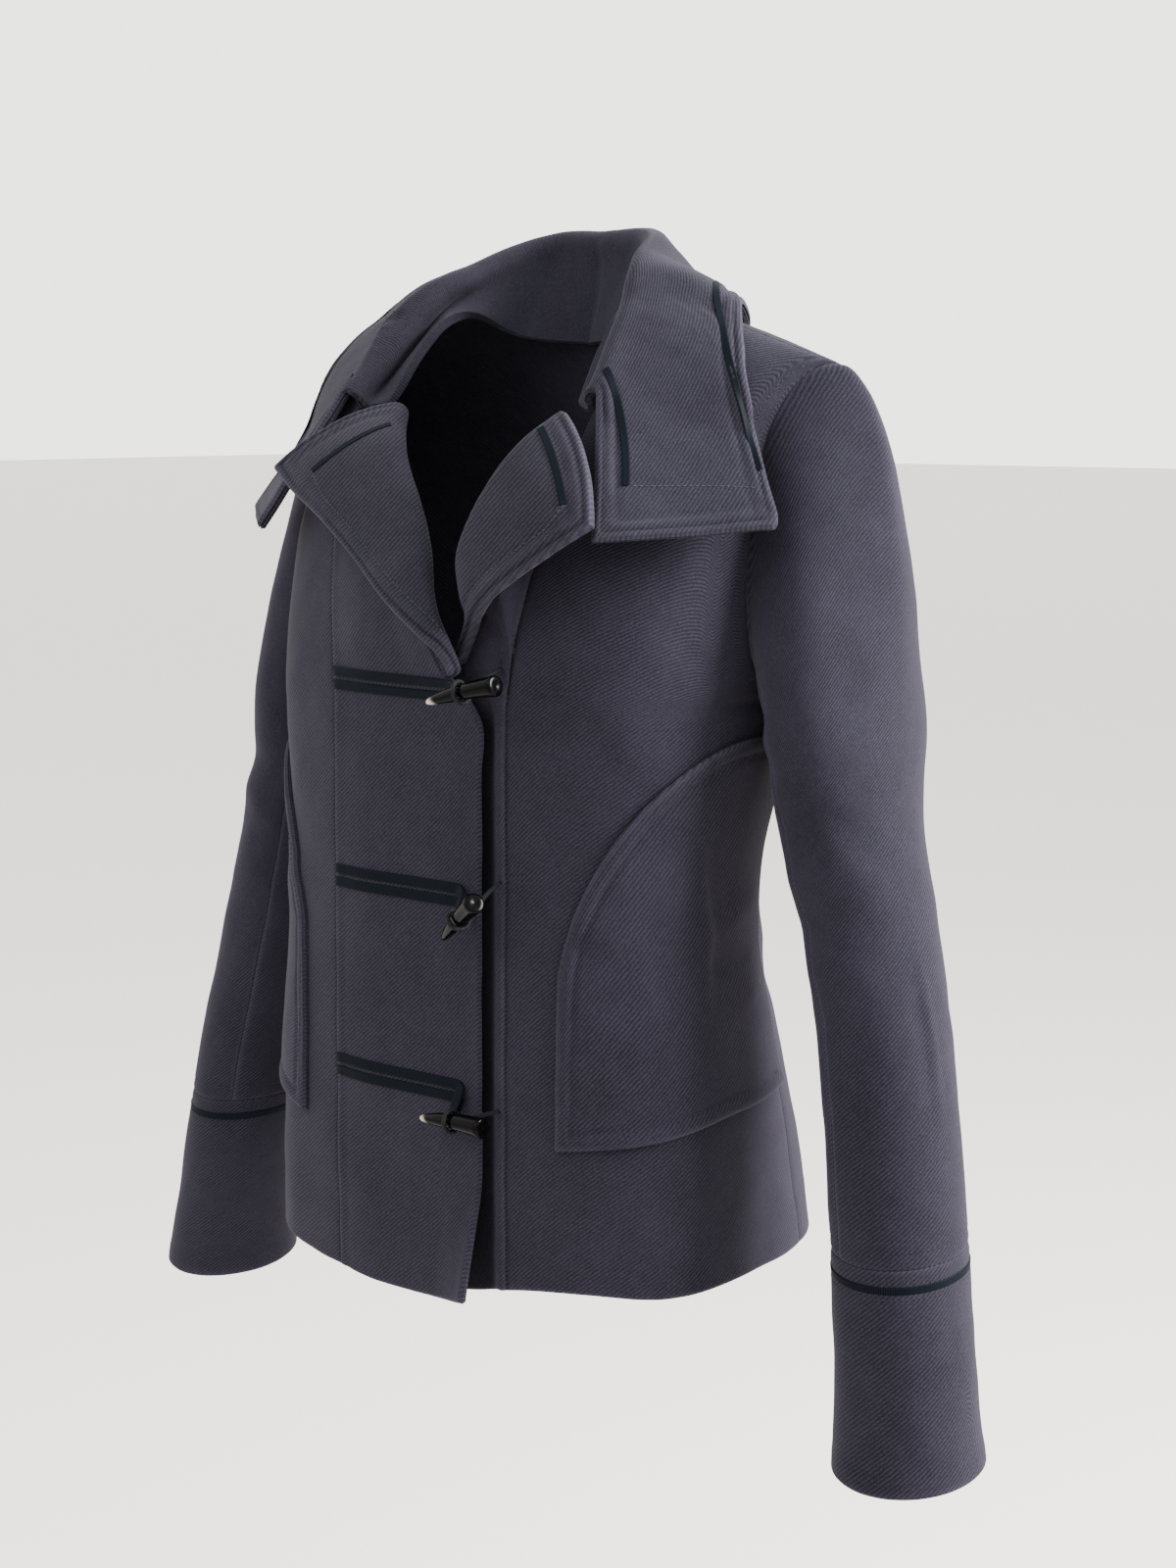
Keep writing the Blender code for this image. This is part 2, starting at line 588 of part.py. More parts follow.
def band_surface(side):
    """A front band: the free edge to the seam. Above the chest its free edge follows the lapel's roll."""
    point_at = body_point if side > 0 else right_front_point
    table = LAPEL_LEFT if side > 0 else LAPEL_RIGHT
    free_x = -UNDERLAP if side > 0 else OVERLAP
    low_top, top, end_station = BAND_TURN_OFF, BAND_TOP[side > 0], BAND_END_STATION[side > 0]
    turn_off = BAND_LEAVE[0] if side > 0 else BAND_LEAVE[1]
    low_share = 0.66

    def surface(u, v):
        to_seam = u if side > 0 else 1 - u
        if v <= low_share:
            level = low_top * v / low_share
            seam = side * (band_seam_turn(level) - SEAM_TURN)
            return point_at(mix(turn_at_x(free_x, level), seam, to_seam), level)
        t = (v - low_share) / (1 - low_share)
        level = mix(low_top, top, t)
        seam_turn = band_seam_turn(level) - SEAM_TURN - 0.8 * step_between(1.1, 1.4, level)
        seam = point_at(side * seam_turn, level)
        start = point_at(turn_at_x(free_x, low_top), low_top)
        leave = point_at(turn_at_x(free_x, turn_off), turn_off)
        if t >= BAND_ROLL:
            edge = under_flap(table, mix(1.0, end_station, (t - BAND_ROLL) / (1 - BAND_ROLL)))
        else:
            keys = (0.0, (turn_off - low_top) / (top - low_top), BAND_ROLL, BAND_ROLL + 0.16)
            edge = smooth_at(keys, [start, leave, under_flap(table, 1.0), under_flap(table, 0.78)], t)
        middle = point_at(mix(turn_at_x(free_x, low_top), side * band_seam_turn(low_top), to_seam), low_top)
        straight = mix(edge, seam, to_seam)
        belly = middle - mix(start, point_at(side * band_seam_turn(low_top), low_top), to_seam)
        return straight + belly * (1 - t)
    return surface


def armhole_point(around):
    """The armhole's edge: 0 at the shoulder tip, 90 in front, 180 at the armpit and 270 behind."""
    front = around <= 180.0
    share = around / 180.0 if front else (360.0 - around) / 180.0
    levels = np.linspace(2.0, 1.0, 41)
    table = ARMHOLE_FRONT if front else ARMHOLE_BACK
    points = [body_point(float(table_row(table, level)[0]), min(level, 1.999)) for level in levels]
    lengths = np.concatenate([[0.0], np.cumsum([np.linalg.norm(b - a) for a, b in zip(points, points[1:])])])
    return smooth_at(lengths, points, share * lengths[-1])


ARMHOLE_TURNS = list(range(-12, 373, 6))
ARMHOLE = [armhole_point(around % 360) for around in ARMHOLE_TURNS]


def armhole_at(around):
    """The armhole's edge, smooth between points worked out every few degrees."""
    return smooth_at(ARMHOLE_TURNS, ARMHOLE, around % 360.0)


def ring_point(around, height):
    """A point of the sleeve's ring at a height."""
    centre_x, centre_y, half_across, half_deep = table_row([(-row[0],) + row[1:] for row in SLEEVE], -height)
    angle = math.radians(around)
    forward = half_deep * math.sin(angle)
    slant = SLEEVE_SLANT * step_between(-0.42, -0.52, height)
    return np.array([centre_x + half_across * math.cos(angle), centre_y - forward, height - slant * forward])


def sleeve_point(around, along):
    """A point of the left sleeve: along is 0 at the armhole, 1 at the upper arm, 2 at the cuff's seam
    and 3 at the cuff's hem."""
    if along > 2.0:
        return ring_point(around, mix(CUFF_SEAM_HEIGHT, CUFF_HEM_HEIGHT, along - 2.0))
    upper = SLEEVE[0][0]
    if along > 1.0:
        return ring_point(around, mix(upper, CUFF_SEAM_HEIGHT, along - 1.0))
    angle = math.radians(around)
    outward = unit(np.array([0.62 + 0.38 * math.cos(angle), -0.30 * math.sin(angle),
                             -0.62 + 0.34 * math.cos(angle)]))
    start = armhole_at(around) + outward * ARMHOLE_GAP
    end = ring_point(around, upper)
    fall = unit(ring_point(around, upper - 0.02) - end)
    chord = np.linalg.norm(end - start)
    t = along
    return (start * (2 * t**3 - 3 * t**2 + 1) + outward * chord * TOP_REACH * 2 * (t**3 - 2 * t**2 + t)
            + end * (3 * t**2 - 2 * t**3) + fall * chord * FALL_REACH * (t**3 - t**2))


def sleeve_surface(side, start, end, low, high):
    """Part of a sleeve between two lines along it, in degrees round, and two places along it."""
    def surface(u, v):
        point = sleeve_point(mix(start, end, u), mix(high, low, v))
        if side < 0:
            point[2] -= (point[2] + ARMPIT_DEPTH) * RIGHT_SLEEVE_RISE * step_between(-0.2, -0.35, point[2])
        return point * (side, 1, 1)
    return surface


def tube(name, surface, around, along, thickness, material, collection, flip=False):
    """A closed tube of cloth round surface(u, v), open at both ends; u runs once round."""
    outer = np.zeros((along + 1, around, 3))
    inner = np.zeros_like(outer)
    for r, v in enumerate(np.linspace(0, 1, along + 1)):
        for c in range(around):
            u = c / around
            normal = normal_of(surface, u, v) * (-1 if flip else 1)
            outer[r, c] = surface(u, v)
            inner[r, c] = outer[r, c] - normal * thickness
    if flip:
        outer, inner = outer[:, ::-1], inner[:, ::-1]
    faces = []
    count = (along + 1) * around
    for r in range(along):
        for c in range(around):
            a, b = r * around + c, r * around + (c + 1) % around
            d, e = a + around, b + around
            faces.append((a, b, e, d))
            faces.append((count + a, count + d, count + e, count + b))
    for c in range(around):
        b = (c + 1) % around
        top = along * around
        faces.append((c, count + c, count + b, b))
        faces.append((top + c, top + b, count + top + b, count + top + c))
    points = [tuple(p) for p in outer.reshape(-1, 3)] + [tuple(p) for p in inner.reshape(-1, 3)]
    mesh = bpy.data.meshes.new(name)
    mesh.from_pydata(points, [], faces)
    mesh.shade_smooth()
    mesh.set_sharp_from_angle(angle=math.radians(50))
    return link(name, mesh, material, collection)


def tape(name, host, path, width, thickness, material, collection, steps, lift, side=1):
    """A flat tape on host(u, v), along path(t) -> (u, v), with its underside a little above the host."""
    outer = np.zeros((steps + 1, 3, 3))
    inner = np.zeros_like(outer)
    delta = 0.002
    for r, t in enumerate(np.linspace(0, 1, steps + 1)):
        u, v = path(t)
        point = host(u, v)
        normal = normal_of(host, u, v) * side
        way = unit(host(*path(min(t + delta, 1.0))) - host(*path(max(t - delta, 0.0))))
        across = np.cross(way, normal)
        for c, share in enumerate((-0.5, 0.0, 0.5)):
            edge = point + across * width * share
            outer[r, c] = edge + normal * (lift + thickness)
            inner[r, c] = edge + normal * lift
    return closed_sheet(name, outer, inner, material, collection)


def patch_surface(side):
    """The pocket patch: u from its front edge to the side seam, v from its bottom to its rounded top."""
    point_at = body_point if side > 0 else right_front_point

    def surface(u, v):
        bottom = mix(PATCH_BOTTOM[0], PATCH_BOTTOM[1], u)
        bend = min(max(u / PATCH_CURVE_SHARE, 0.0), 1.0)
        rise = (1 - (1 - bend) ** PATCH_CURVE_POWER) ** (1 / PATCH_CURVE_POWER)
        top = mix(PATCH_TOP[0], PATCH_TOP[1], rise)
        level = mix(bottom, top, v)
        turn = mix(turn_at_x(PATCH_FRONT_X, level), SIDE_TURN - 1.2, u)
        return point_at(side * turn, level)
    return surface


def patch_height(u, v):
    """The patch's outside, rounded over at its front, bottom and top edges and pressed flat by the arm."""
    edge = max(min(u * 12, v * 9, (1 - v) * 9), 0.0)
    pressed = 1 - 0.75 * step_between(0.70, 0.92, u) * step_between(0.70, 0.92, v)
    return PATCH_LAY + PATCH * pressed * (0.5 + 0.5 * math.sqrt(1 - (1 - min(edge, 1.0)) ** 2))


def horn(name, disc, tip, bow, material, collection):
    """A horn toggle: rings along a slightly curved line from its flat end to its point."""
    sides = HORN_SIDES
    disc, tip = np.array(disc), np.array(tip)
    axis = unit(tip - disc)
    down = unit(np.array([0, 0, -1.0]) - axis * axis[2] * -1.0)
    out = np.cross(axis, down)
    mesh = bmesh.new()
    rings = []
    for share, radius in HORN_PROFILE:
        centre = disc + (tip - disc) * share + down * bow * (share ** 2 - share * 0.4)
        ring = []
        for k in range(sides):
            angle = 2 * math.pi * k / sides
            ring.append(mesh.verts.new(centre + radius * (math.cos(angle) * down + math.sin(angle) * out)))
        rings.append(ring)
    for low, high in zip(rings, rings[1:]):
        for k in range(sides):
            mesh.faces.new((low[k], low[(k + 1) % sides], high[(k + 1) % sides], high[k]))
    mesh.faces.new(rings[0][::-1])
    mesh.faces.new(rings[-1])
    bmesh.ops.recalc_face_normals(mesh, faces=mesh.faces)
    data = bpy.data.meshes.new(name)
    mesh.to_mesh(data)
    mesh.free()
    data.shade_smooth()
    data.set_sharp_from_angle(angle=math.radians(50))
    return link(name, data, material, collection)


def cord(name, points, radius, material, collection):
    """A round cord through points."""
    curve = bpy.data.curves.new(name, "CURVE")
    curve.dimensions = "3D"
    curve.bevel_depth = radius
    curve.bevel_resolution = 2
    curve.use_fill_caps = True
    spline = curve.splines.new("POLY")
    spline.points.add(len(points) - 1)
    for knot, point in zip(spline.points, points):
        knot.co = (*point, 1.0)
    return link(name, curve, material, collection)


def find_on(surface, x, z, start):
    """The (u, v) of the point of a surface at a given x and height."""
    u, v = start
    step = 0.002
    for _ in range(30):
        point = surface(u, v)
        miss = np.array([x - point[0], z - point[2]])
        across = (surface(u + step, v) - point) / step
        up = (surface(u, v + step) - point) / step
        slope = np.array([[across[0], up[0]], [across[2], up[2]]])
        du, dv = np.linalg.solve(slope, miss)
        u, v = u + du, v + dv
    return u, v


def loop_path(surface, height):
    """A double tape: out along the band, round under the toggle and back."""
    half_turn = math.pi * LOOP_SPREAD
    run = LOOP_END_X - LOOP_START_X
    total = 2 * run + half_turn

    def path(t):
        travel = t * total
        if travel < run:
            x, z = LOOP_START_X + travel, height + LOOP_SPREAD
        elif travel < run + half_turn:
            angle = (travel - run) / LOOP_SPREAD
            x = LOOP_END_X + LOOP_SPREAD * math.sin(angle)
            z = height + LOOP_SPREAD * math.cos(angle)
        else:
            x, z = LOOP_START_X + total - travel, height - LOOP_SPREAD
        return find_on(surface, x, z, (0.5, 0.4))
    return path


def cord_points(disc, tip):
    """A toggle's cord: out of the left band's seam, along the toggle and once round its waist."""
    disc, tip = np.array(disc), np.array(tip)
    axis = unit(tip - disc)
    down = unit(np.array([0, 0, -1.0]) + axis * axis[2])
    out = np.cross(axis, down)
    out = out * math.copysign(1.0, -out[1])
    share = 0.50
    waist = disc + (tip - disc) * share + down * TOGGLE_BOW * (share ** 2 - share * 0.4)
    ring = WAIST_RADIUS + CORD_RADIUS + LAY
    points = []
    for k in range(19):
        angle = math.radians(200 + 17 * k)
        slip = axis * CORD_RADIUS * 2.3 * (k / 18 - 0.5)
        points.append(waist + ring * (out * math.cos(angle) - down * math.sin(angle)) + slip)
    x, rise = CORD_ROOT
    level = find_level(body_point, x, disc[2] + rise)
    root = body_point(turn_at_x(x, level), level)
    root[1] -= CORD_RADIUS + CORD_LAY
    first = points[0]
    lead = [root, mix(root, first, 0.35) + np.array([0, -2.5 * MM, 1 * MM]),
            mix(root, first, 0.72) + np.array([0, -1.5 * MM, 1 * MM])]
    run = lead + points
    keys = np.arange(len(run), dtype=float)
    return [smooth_at(keys, run, t) for t in np.linspace(0, len(run) - 1, CORD_STEPS)]


def find_level(point_at, x, z):
    low, high = 0.0, 2.0
    for _ in range(40):
        middle = (low + high) / 2
        if point_at(turn_at_x(x, middle), middle)[2] < z:
            low = middle
        else:
            high = middle
    return low


def make_body(materials, collection):
    wool = materials["wool"]
    panel("front_side_left", front_side_surface(1), *SIDE_GRID, CLOTH, wool, collection)
    panel("front_side_right", front_side_surface(-1), *SIDE_GRID, CLOTH, wool, collection, flip=True)
    panel("back", back_surface, *BACK_GRID, CLOTH, wool, collection)
    panel("front_band_left", band_surface(1), *BAND_GRID, BAND_CLOTH, wool, collection)
    panel("front_band_right", band_surface(-1), *BAND_GRID, BAND_CLOTH, wool, collection)


def make_sleeves(materials, collection):
    wool = materials["wool"]
    front_seam, back_seam = SLEEVE_SEAMS
    gap = SLEEVE_SEAM_TURN
    for side, name in ((1, "left"), (-1, "right")):
        flip = side > 0
        top = sleeve_surface(side, back_seam - 360 + gap, front_seam - gap, 0.0, 2.0 - SEAM_ALONG)
        under = sleeve_surface(side, front_seam + gap, back_seam - gap, 0.0, 2.0 - SEAM_ALONG)
        cuff = sleeve_surface(side, 0.0, 360.0, 2.0, 3.0)
        panel("sleeve_top_" + name, top, *TOP_GRID, CLOTH, wool, collection, flip=flip)
        panel("sleeve_under_" + name, under, *UNDER_GRID, CLOTH, wool, collection, flip=flip)
        tube("cuff_" + name, cuff, *CUFF_GRID, CLOTH, wool, collection, flip=flip)


def make_collar(materials, collection):
    facing, ribbon = materials["wool_facing"], materials["ribbon"]
    collar = on_body(body_tree(), collar_surface)
    panel("collar", collar, *COLLAR_GRID, LEAF, facing, collection)
    tape("collar_ribbon_edge", collar, collar_edge_path, RIBBON_WIDTH, TAPE, ribbon, collection,
         EDGE_RIBBON_STEPS, RIBBON_LAY)
    for side, name, table in ((1, "left", LAPEL_LEFT), (-1, "right", LAPEL_RIGHT)):
        tape("collar_ribbon_end_" + name, collar, collar_end_path(side), RIBBON_WIDTH, TAPE, ribbon, collection,
             END_RIBBON_STEPS, RIBBON_LAY)
        lapel = lapel_surface(table)
        panel("lapel_" + name, lapel, *LAPEL_GRID, LEAF, facing, collection, flip=side < 0)
        tape("lapel_ribbon_" + name, lapel, lapel_path, RIBBON_WIDTH, TAPE, ribbon, collection,
             END_RIBBON_STEPS, LAY, side)


def make_pockets(materials, collection):
    for side, name in ((1, "left"), (-1, "right")):
        panel("pocket_" + name, patch_surface(side), *PATCH_GRID, -PATCH_LAY, materials["wool"], collection,
              above=patch_height, flip=side < 0)


def make_loops(materials, collection):
    band = band_surface(-1)
    width, thickness = LOOP_TAPE
    for number, height in enumerate(LOOP_HEIGHTS, 1):
        tape(f"loop_{number}", band, loop_path(band, height), width, thickness, materials["ribbon"], collection,
             LOOP_STEPS, LOOP_LAY)


def make_toggles(materials, collection):
    for number, ends in enumerate(TOGGLE_ENDS, 1):
        horn(f"toggle_{number}", *ends, TOGGLE_BOW, materials["horn"], collection)
        cord(f"toggle_cord_{number}", cord_points(*ends), CORD_RADIUS, materials["cord"], collection)


def collar_edge_path(t):
    """The ribbon along the collar's edge, at an even distance from it."""
    side = 2 * t - 1
    station = abs(side) * EDGE_RIBBON_REACH
    reach = np.linalg.norm(collar_edge(station) - points_at(COLLAR_CREST, station))
    share = 1 - (1 - FOLD_END) * RIBBON_INSET / reach
    return (1 + math.copysign(station, side)) / 2, share


def collar_end_path(side):
    """The ribbon down the collar's front end."""
    def path(t):
        station, v = mix(COLLAR_END_RIBBON[0], COLLAR_END_RIBBON[1], t)
        return (1 + side * station) / 2, v
    return path


def lapel_path(t):
    """The ribbon across a lapel's upper edge, from its roll out."""
    u, v = mix(LAPEL_RIBBON[0], LAPEL_RIBBON[1], t)
    return u, v


def make_cuff_ribbons(materials, collection):
    """A ring of ribbon round each cuff, just off its cloth."""
    for side, name in ((1, "left"), (-1, "right")):
        cuff = sleeve_surface(side, 0.0, 360.0, 2.0, 3.0)

        def surface(u, v):
            place = 1 - CUFF_RIBBON + (v - 0.5) * RIBBON_WIDTH / (CUFF_SEAM_HEIGHT - CUFF_HEM_HEIGHT)
            return cuff(u, place) - side * normal_of(cuff, u, place) * (LAY + TAPE)

        tube("cuff_ribbon_" + name, surface, CUFF_RIBBON_SIDES, 1, TAPE, materials["ribbon"], collection,
             flip=side > 0)


def main():
    clear_scene()
    collection = bpy.data.collections.new("short_wool_jacket")
    bpy.context.scene.collection.children.link(collection)
    materials = {name: make_material(name) for name in MATERIALS}
    make_body(materials, collection)
    make_sleeves(materials, collection)
    make_collar(materials, collection)
    make_pockets(materials, collection)
    make_loops(materials, collection)
    make_toggles(materials, collection)
    make_cuff_ribbons(materials, collection)


main()
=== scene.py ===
"""Short wool jacket, dressed: cloth shells, ribbon, stitching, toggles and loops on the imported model.

Frame: metres, +Z up, the wearer faces -Y and the wearer's left is +X. The height 0 is the level where
the shoulder seams meet the neckline, and the X = Y = 0 line runs down the middle of the body.
"""
import math

import bpy
import numpy as np
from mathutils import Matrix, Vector
from mathutils.bvhtree import BVHTree


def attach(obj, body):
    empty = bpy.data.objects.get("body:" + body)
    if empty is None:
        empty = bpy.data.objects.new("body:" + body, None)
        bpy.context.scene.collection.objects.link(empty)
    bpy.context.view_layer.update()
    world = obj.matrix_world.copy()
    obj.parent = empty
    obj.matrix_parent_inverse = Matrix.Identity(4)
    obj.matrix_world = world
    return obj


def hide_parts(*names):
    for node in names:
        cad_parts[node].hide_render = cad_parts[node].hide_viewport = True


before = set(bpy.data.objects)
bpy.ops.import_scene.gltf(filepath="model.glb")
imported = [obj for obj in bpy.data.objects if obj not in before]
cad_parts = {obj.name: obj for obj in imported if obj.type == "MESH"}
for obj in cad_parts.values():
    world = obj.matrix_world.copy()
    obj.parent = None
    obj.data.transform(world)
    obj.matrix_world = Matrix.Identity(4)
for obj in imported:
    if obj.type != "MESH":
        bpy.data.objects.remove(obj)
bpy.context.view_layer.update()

MM = 0.001

# Driving sizes
ARMPIT_DEPTH = 235 * MM         # side of the neck down to the armpit
CHEST_HALF = 165 * MM           # half of the width across the chest
SHOULDER_HALF = 195 * MM        # centre to the shoulder tip
SHOULDER_DROP = 45 * MM         # fall of the shoulder seam
NECK_HALF = 75 * MM             # half of the neck opening at the shoulder seam
SHOULDER_Y = (20 * MM, 45 * MM)  # shoulder seam, front to back place at the neck and at the tip
FRONT_DEPTH = 120 * MM          # armpit level, body axis to the chest
BACK_DEPTH = 100 * MM           # armpit level, body axis to the back
ARMPIT_Y = 30 * MM              # body axis at the armpit level
BAND_HALF = 65 * MM             # centre to the seam of each front band
OVERLAP = 51 * MM               # right front edge, past the centre to the wearer's left
UNDERLAP = 20 * MM              # left front edge, past the centre to the wearer's right
WRAP_AIR = 1.4 * MM             # air between the crossing fronts
CORNER_SWING = 16 * MM          # how far the right front's lower corner stands off the body
SIDE_TURN = 108.0               # degrees round the body from the centre front to the side seam

# Cloth
CLOTH = 3.0 * MM                # one layer of melton
BAND_CLOTH = 4.6 * MM           # a front band: cloth and its facing
LEAF = 5.6 * MM                 # a collar or lapel leaf: two layers
PATCH = 5.0 * MM                # a pocket patch with its turned edge
ARMHOLE_GAP = -1.6 * MM         # between an armhole and its sleeve: below zero, they overlap
SEAM_TURN = -0.02               # half a seam's gap on the body, in degrees round: also an overlap
CORD_AIR = 0.4 * MM             # between a toggle's waist and its cord
LEAF_LAY = 2.2 * MM             # air under a collar or lapel leaf
LEAF_SOFT = 1.5 * MM            # how gently a leaf comes to rest on the body
SHOULDER_TOP = 1.9997           # level where the front and the back end, just short of the shoulder seam
SHOULDER_GAP = 0.1 * MM         # from the shoulder seam to each of them

FRONT_POWER = 3.0               # squareness of the front half of a section
BACK_POWER = 2.2                # squareness of the back half of a section
FRONT_ARCH = 1.65               # roundness of the chest up to the shoulder
BACK_ARCH = 2.6                 # the same behind

# The body below the armpits, one row a level: half its width, its depth in front and behind, its axis in Y
BODY = (
    (0.00, 0.170, 0.104, 0.148, 0.013),
    (0.20, 0.165, 0.102, 0.138, 0.010),
    (0.38, 0.157, 0.099, 0.125, 0.007),
    (0.56, 0.149, 0.096, 0.114, 0.004),
    (0.72, 0.150, 0.097, 0.112, 0.006),
    (0.85, 0.157, 0.107, 0.110, 0.016),
    (0.93, 0.1625, 0.1160, 0.1035, 0.0255),
    (1.00, CHEST_HALF, FRONT_DEPTH, BACK_DEPTH, ARMPIT_Y),
    (1.07, CHEST_HALF, FRONT_DEPTH, BACK_DEPTH, ARMPIT_Y),
)
# The body above the armpits, from level 1 at the armpit to 2 on the shoulder seam: half widths, front and back
YOKE = (
    (1.00, CHEST_HALF, CHEST_HALF),
    (1.15, 0.166, 0.178),
    (1.30, 0.167, 0.192),
    (1.50, 0.170, 0.203),
    (1.70, 0.178, 0.206),
    (1.85, 0.187, 0.203),
    (2.00, SHOULDER_HALF, SHOULDER_HALF),
)
# The hem's height, by degrees round the body
HEM = ((-180, -0.560), (-108, -0.562), (-60, -0.572), (-17, -0.581), (0, -0.581), (17, -0.569),
       (60, -0.566), (108, -0.560), (180, -0.560))
# The armhole's front and back edge: degrees round the body at each level
ARMHOLE_FRONT = ((1.0, 108), (1.03, 94), (1.10, 86), (1.22, 82), (1.40, 80), (1.60, 79), (1.80, 81),
                 (2.0, 90))
ARMHOLE_BACK = ((1.0, 108), (1.03, 114), (1.10, 120), (1.22, 123), (1.40, 122), (1.60, 117), (1.80, 107),
                (2.0, 90))
# The left band's seam above the armpit level runs out under the collar
BAND_SEAM_TOP = ((1.0, 14.3), (1.15, 15.8), (1.30, 19.0), (1.50, 22.3), (1.70, 22.4), (1.85, 20.5),
                 (2.0, 16.0))

# Sleeve rings below the armpit, one row a height: centre in X and Y, half across, half deep
SLEEVE = (
    (-0.265, 0.2055, 0.0440, 0.0372, 0.0570),
    (-0.300, 0.2110, 0.0400, 0.0370, 0.0490),
    (-0.350, 0.2250, 0.0370, 0.0370, 0.0430),
    (-0.400, 0.2370, 0.0333, 0.0375, 0.0395),
    (-0.450, 0.2475, 0.0285, 0.0376, 0.0385),
    (-0.500, 0.2565, 0.0225, 0.0378, 0.0388),
    (-0.545, 0.2625, 0.0190, 0.0382, 0.0395),
    (-0.590, 0.2680, 0.0160, 0.0392, 0.0405),
    (-0.630, 0.2720, 0.0140, 0.0410, 0.0425),
    (-0.660, 0.2745, 0.0125, 0.0430, 0.0445),
)
SLEEVE_SLANT = 0.12             # fall of a cuff's ring towards its front
CUFF_SEAM_HEIGHT = -0.530
CUFF_HEM_HEIGHT = -0.652
RIGHT_SLEEVE_RISE = 0.028       # the right sleeve is pushed up the arm, as a share of its height below
SLEEVE_SEAMS = (118.0, 292.0)   # degrees round the sleeve of its front and its back seam
TOP_REACH = 0.27                # how far a cap line runs out sideways, for its length
FALL_REACH = 0.90               # how far it then runs straight down

# Fold of a collar or lapel: inner end, crest and outer edge, one row a station along the neck
COLLAR_BASE = (
    (0.00, (0.000, 0.0635, -0.031)),
    (0.25, (0.0410, 0.0490, -0.026)),
    (0.45, (0.0590, 0.0240, -0.012)),
    (0.60, (0.0665, 0.0040, -0.018)),
    (0.75, (0.070, -0.013, -0.036)),
    (0.90, (0.072, -0.028, -0.056)),
    (1.00, (0.0735, -0.035, -0.066)),
)
COLLAR_CREST = (
    (0.00, (0.000, 0.079, 0.036)),
    (0.12, (0.034, 0.073, 0.037)),
    (0.28, (0.058, 0.050, 0.031)),
    (0.42, (0.067, 0.024, 0.019)),
    (0.54, (0.075, 0.006, 0.003)),
    (0.64, (0.079, -0.005, -0.011)),
    (0.74, (0.083, -0.017, -0.024)),
    (0.84, (0.087, -0.029, -0.037)),
    (0.92, (0.090, -0.040, -0.049)),
    (1.00, (0.092, -0.049, -0.059)),
)
COLLAR_CORNER = 0.76            # the station of the leaf's outer corner
COLLAR_EDGE_BACK = (
    (0.00, (0.000, 0.124, -0.045)),
    (0.18, (0.057, 0.117, -0.038)),
    (0.36, (0.106, 0.084, -0.020)),
    (0.50, (0.137, 0.033, -0.012)),
    (0.60, (0.158, 0.009, -0.060)),
    (0.68, (0.181, -0.007, -0.095)),
    (0.76, (0.204, -0.021, -0.131)),
)
COLLAR_EDGE_FRONT = (
    (0.76, (0.204, -0.021, -0.131)),
    (0.88, (0.167, -0.056, -0.1355)),
    (1.00, (0.130, -0.090, -0.1385)),
)
COLLAR_FOLD = 8.5 * MM          # radius of the roll
RIGHT_CREST_DROP = 8 * MM       # the collar sits lower on the right of the neck

# A lapel, one row a station down its roll: crest and outer edge. The rows past 1 are its lower end, which
# runs on under the right front.
LAPEL_LEFT = (
    (0.00, (0.0880, -0.0600, -0.0690), (0.1407, -0.1013, -0.1282)),
    (0.17, (0.0770, -0.0850, -0.0860), (0.1300, -0.1080, -0.1372)),
    (0.34, (0.0670, -0.0980, -0.1060), (0.1170, -0.1120, -0.1462)),
    (0.52, (0.0570, -0.1050, -0.1260), (0.1000, -0.1150, -0.1572)),
    (0.70, (0.0480, -0.1060, -0.1470), (0.0799, -0.1150, -0.1701)),
    (0.86, (0.0430, -0.0990, -0.1660), (0.0640, -0.1080, -0.1820)),
    (1.00, (0.0400, -0.0915, -0.1800), (0.0530, -0.1000, -0.1900)),
    (1.12, (0.0352, -0.0890, -0.1935), (0.0450, -0.0965, -0.1995)),
    (1.24, (0.0290, -0.0885, -0.2080), (0.0360, -0.0945, -0.2110)),
)
LAPEL_RIGHT = (
    (0.00, (-0.0540, -0.0380, -0.0640), (-0.1182, -0.0900, -0.1004)),
    (0.17, (-0.0250, -0.0730, -0.0880), (-0.0900, -0.1010, -0.1160)),
    (0.34, (-0.0050, -0.0880, -0.1090), (-0.0558, -0.1100, -0.1335)),
    (0.52, (0.0150, -0.1000, -0.1310), (-0.0240, -0.1160, -0.1550)),
    (0.70, (0.0280, -0.1090, -0.1520), (0.0060, -0.1235, -0.1760)),
    (0.86, (0.0360, -0.1130, -0.1790), (0.0290, -0.1230, -0.1925)),
    (1.00, (0.0455, -0.1100, -0.2030), (0.0440, -0.1160, -0.2065)),
    (1.08, (0.0505, -0.1120, -0.2110), (0.0490, -0.1165, -0.2140)),
)
LAPEL_FOLD = 7.6 * MM           # radius of a lapel's roll
LAPEL_FOLD_LOW = 6.2 * MM       # the same at its lower end
LAPEL_STEADY = 0.60             # station below which a lapel keeps its lean
LAPEL_TOP = 0.035               # station of a lapel's upper end, which leaves the notch open
LAPEL_FLAP = 4 * MM             # how far the facing goes down inside the roll
FLAP_GAP = (2.5 * MM, 2.0 * MM)  # from the facing's end to the band's edge, on the right and the left
BREAK_GAP = 0.5 * MM            # the same, on top, where the roll ends
FLAP_LEAN = 0.6                 # how far it leans in, as a share of the roll's radius
FOLD_START, FOLD_END = 0.20, 0.42
COLLAR_SPRING = 6.0             # degrees that a leaf leaves its roll above the straight way to its edge
LAPEL_SPRING = 14.0
BAND_TURN_OFF = 0.88            # level where the bands start to follow their lapels
BAND_LEAVE = (0.96, 0.97)       # levels where the left and the right free edge leave their lower line
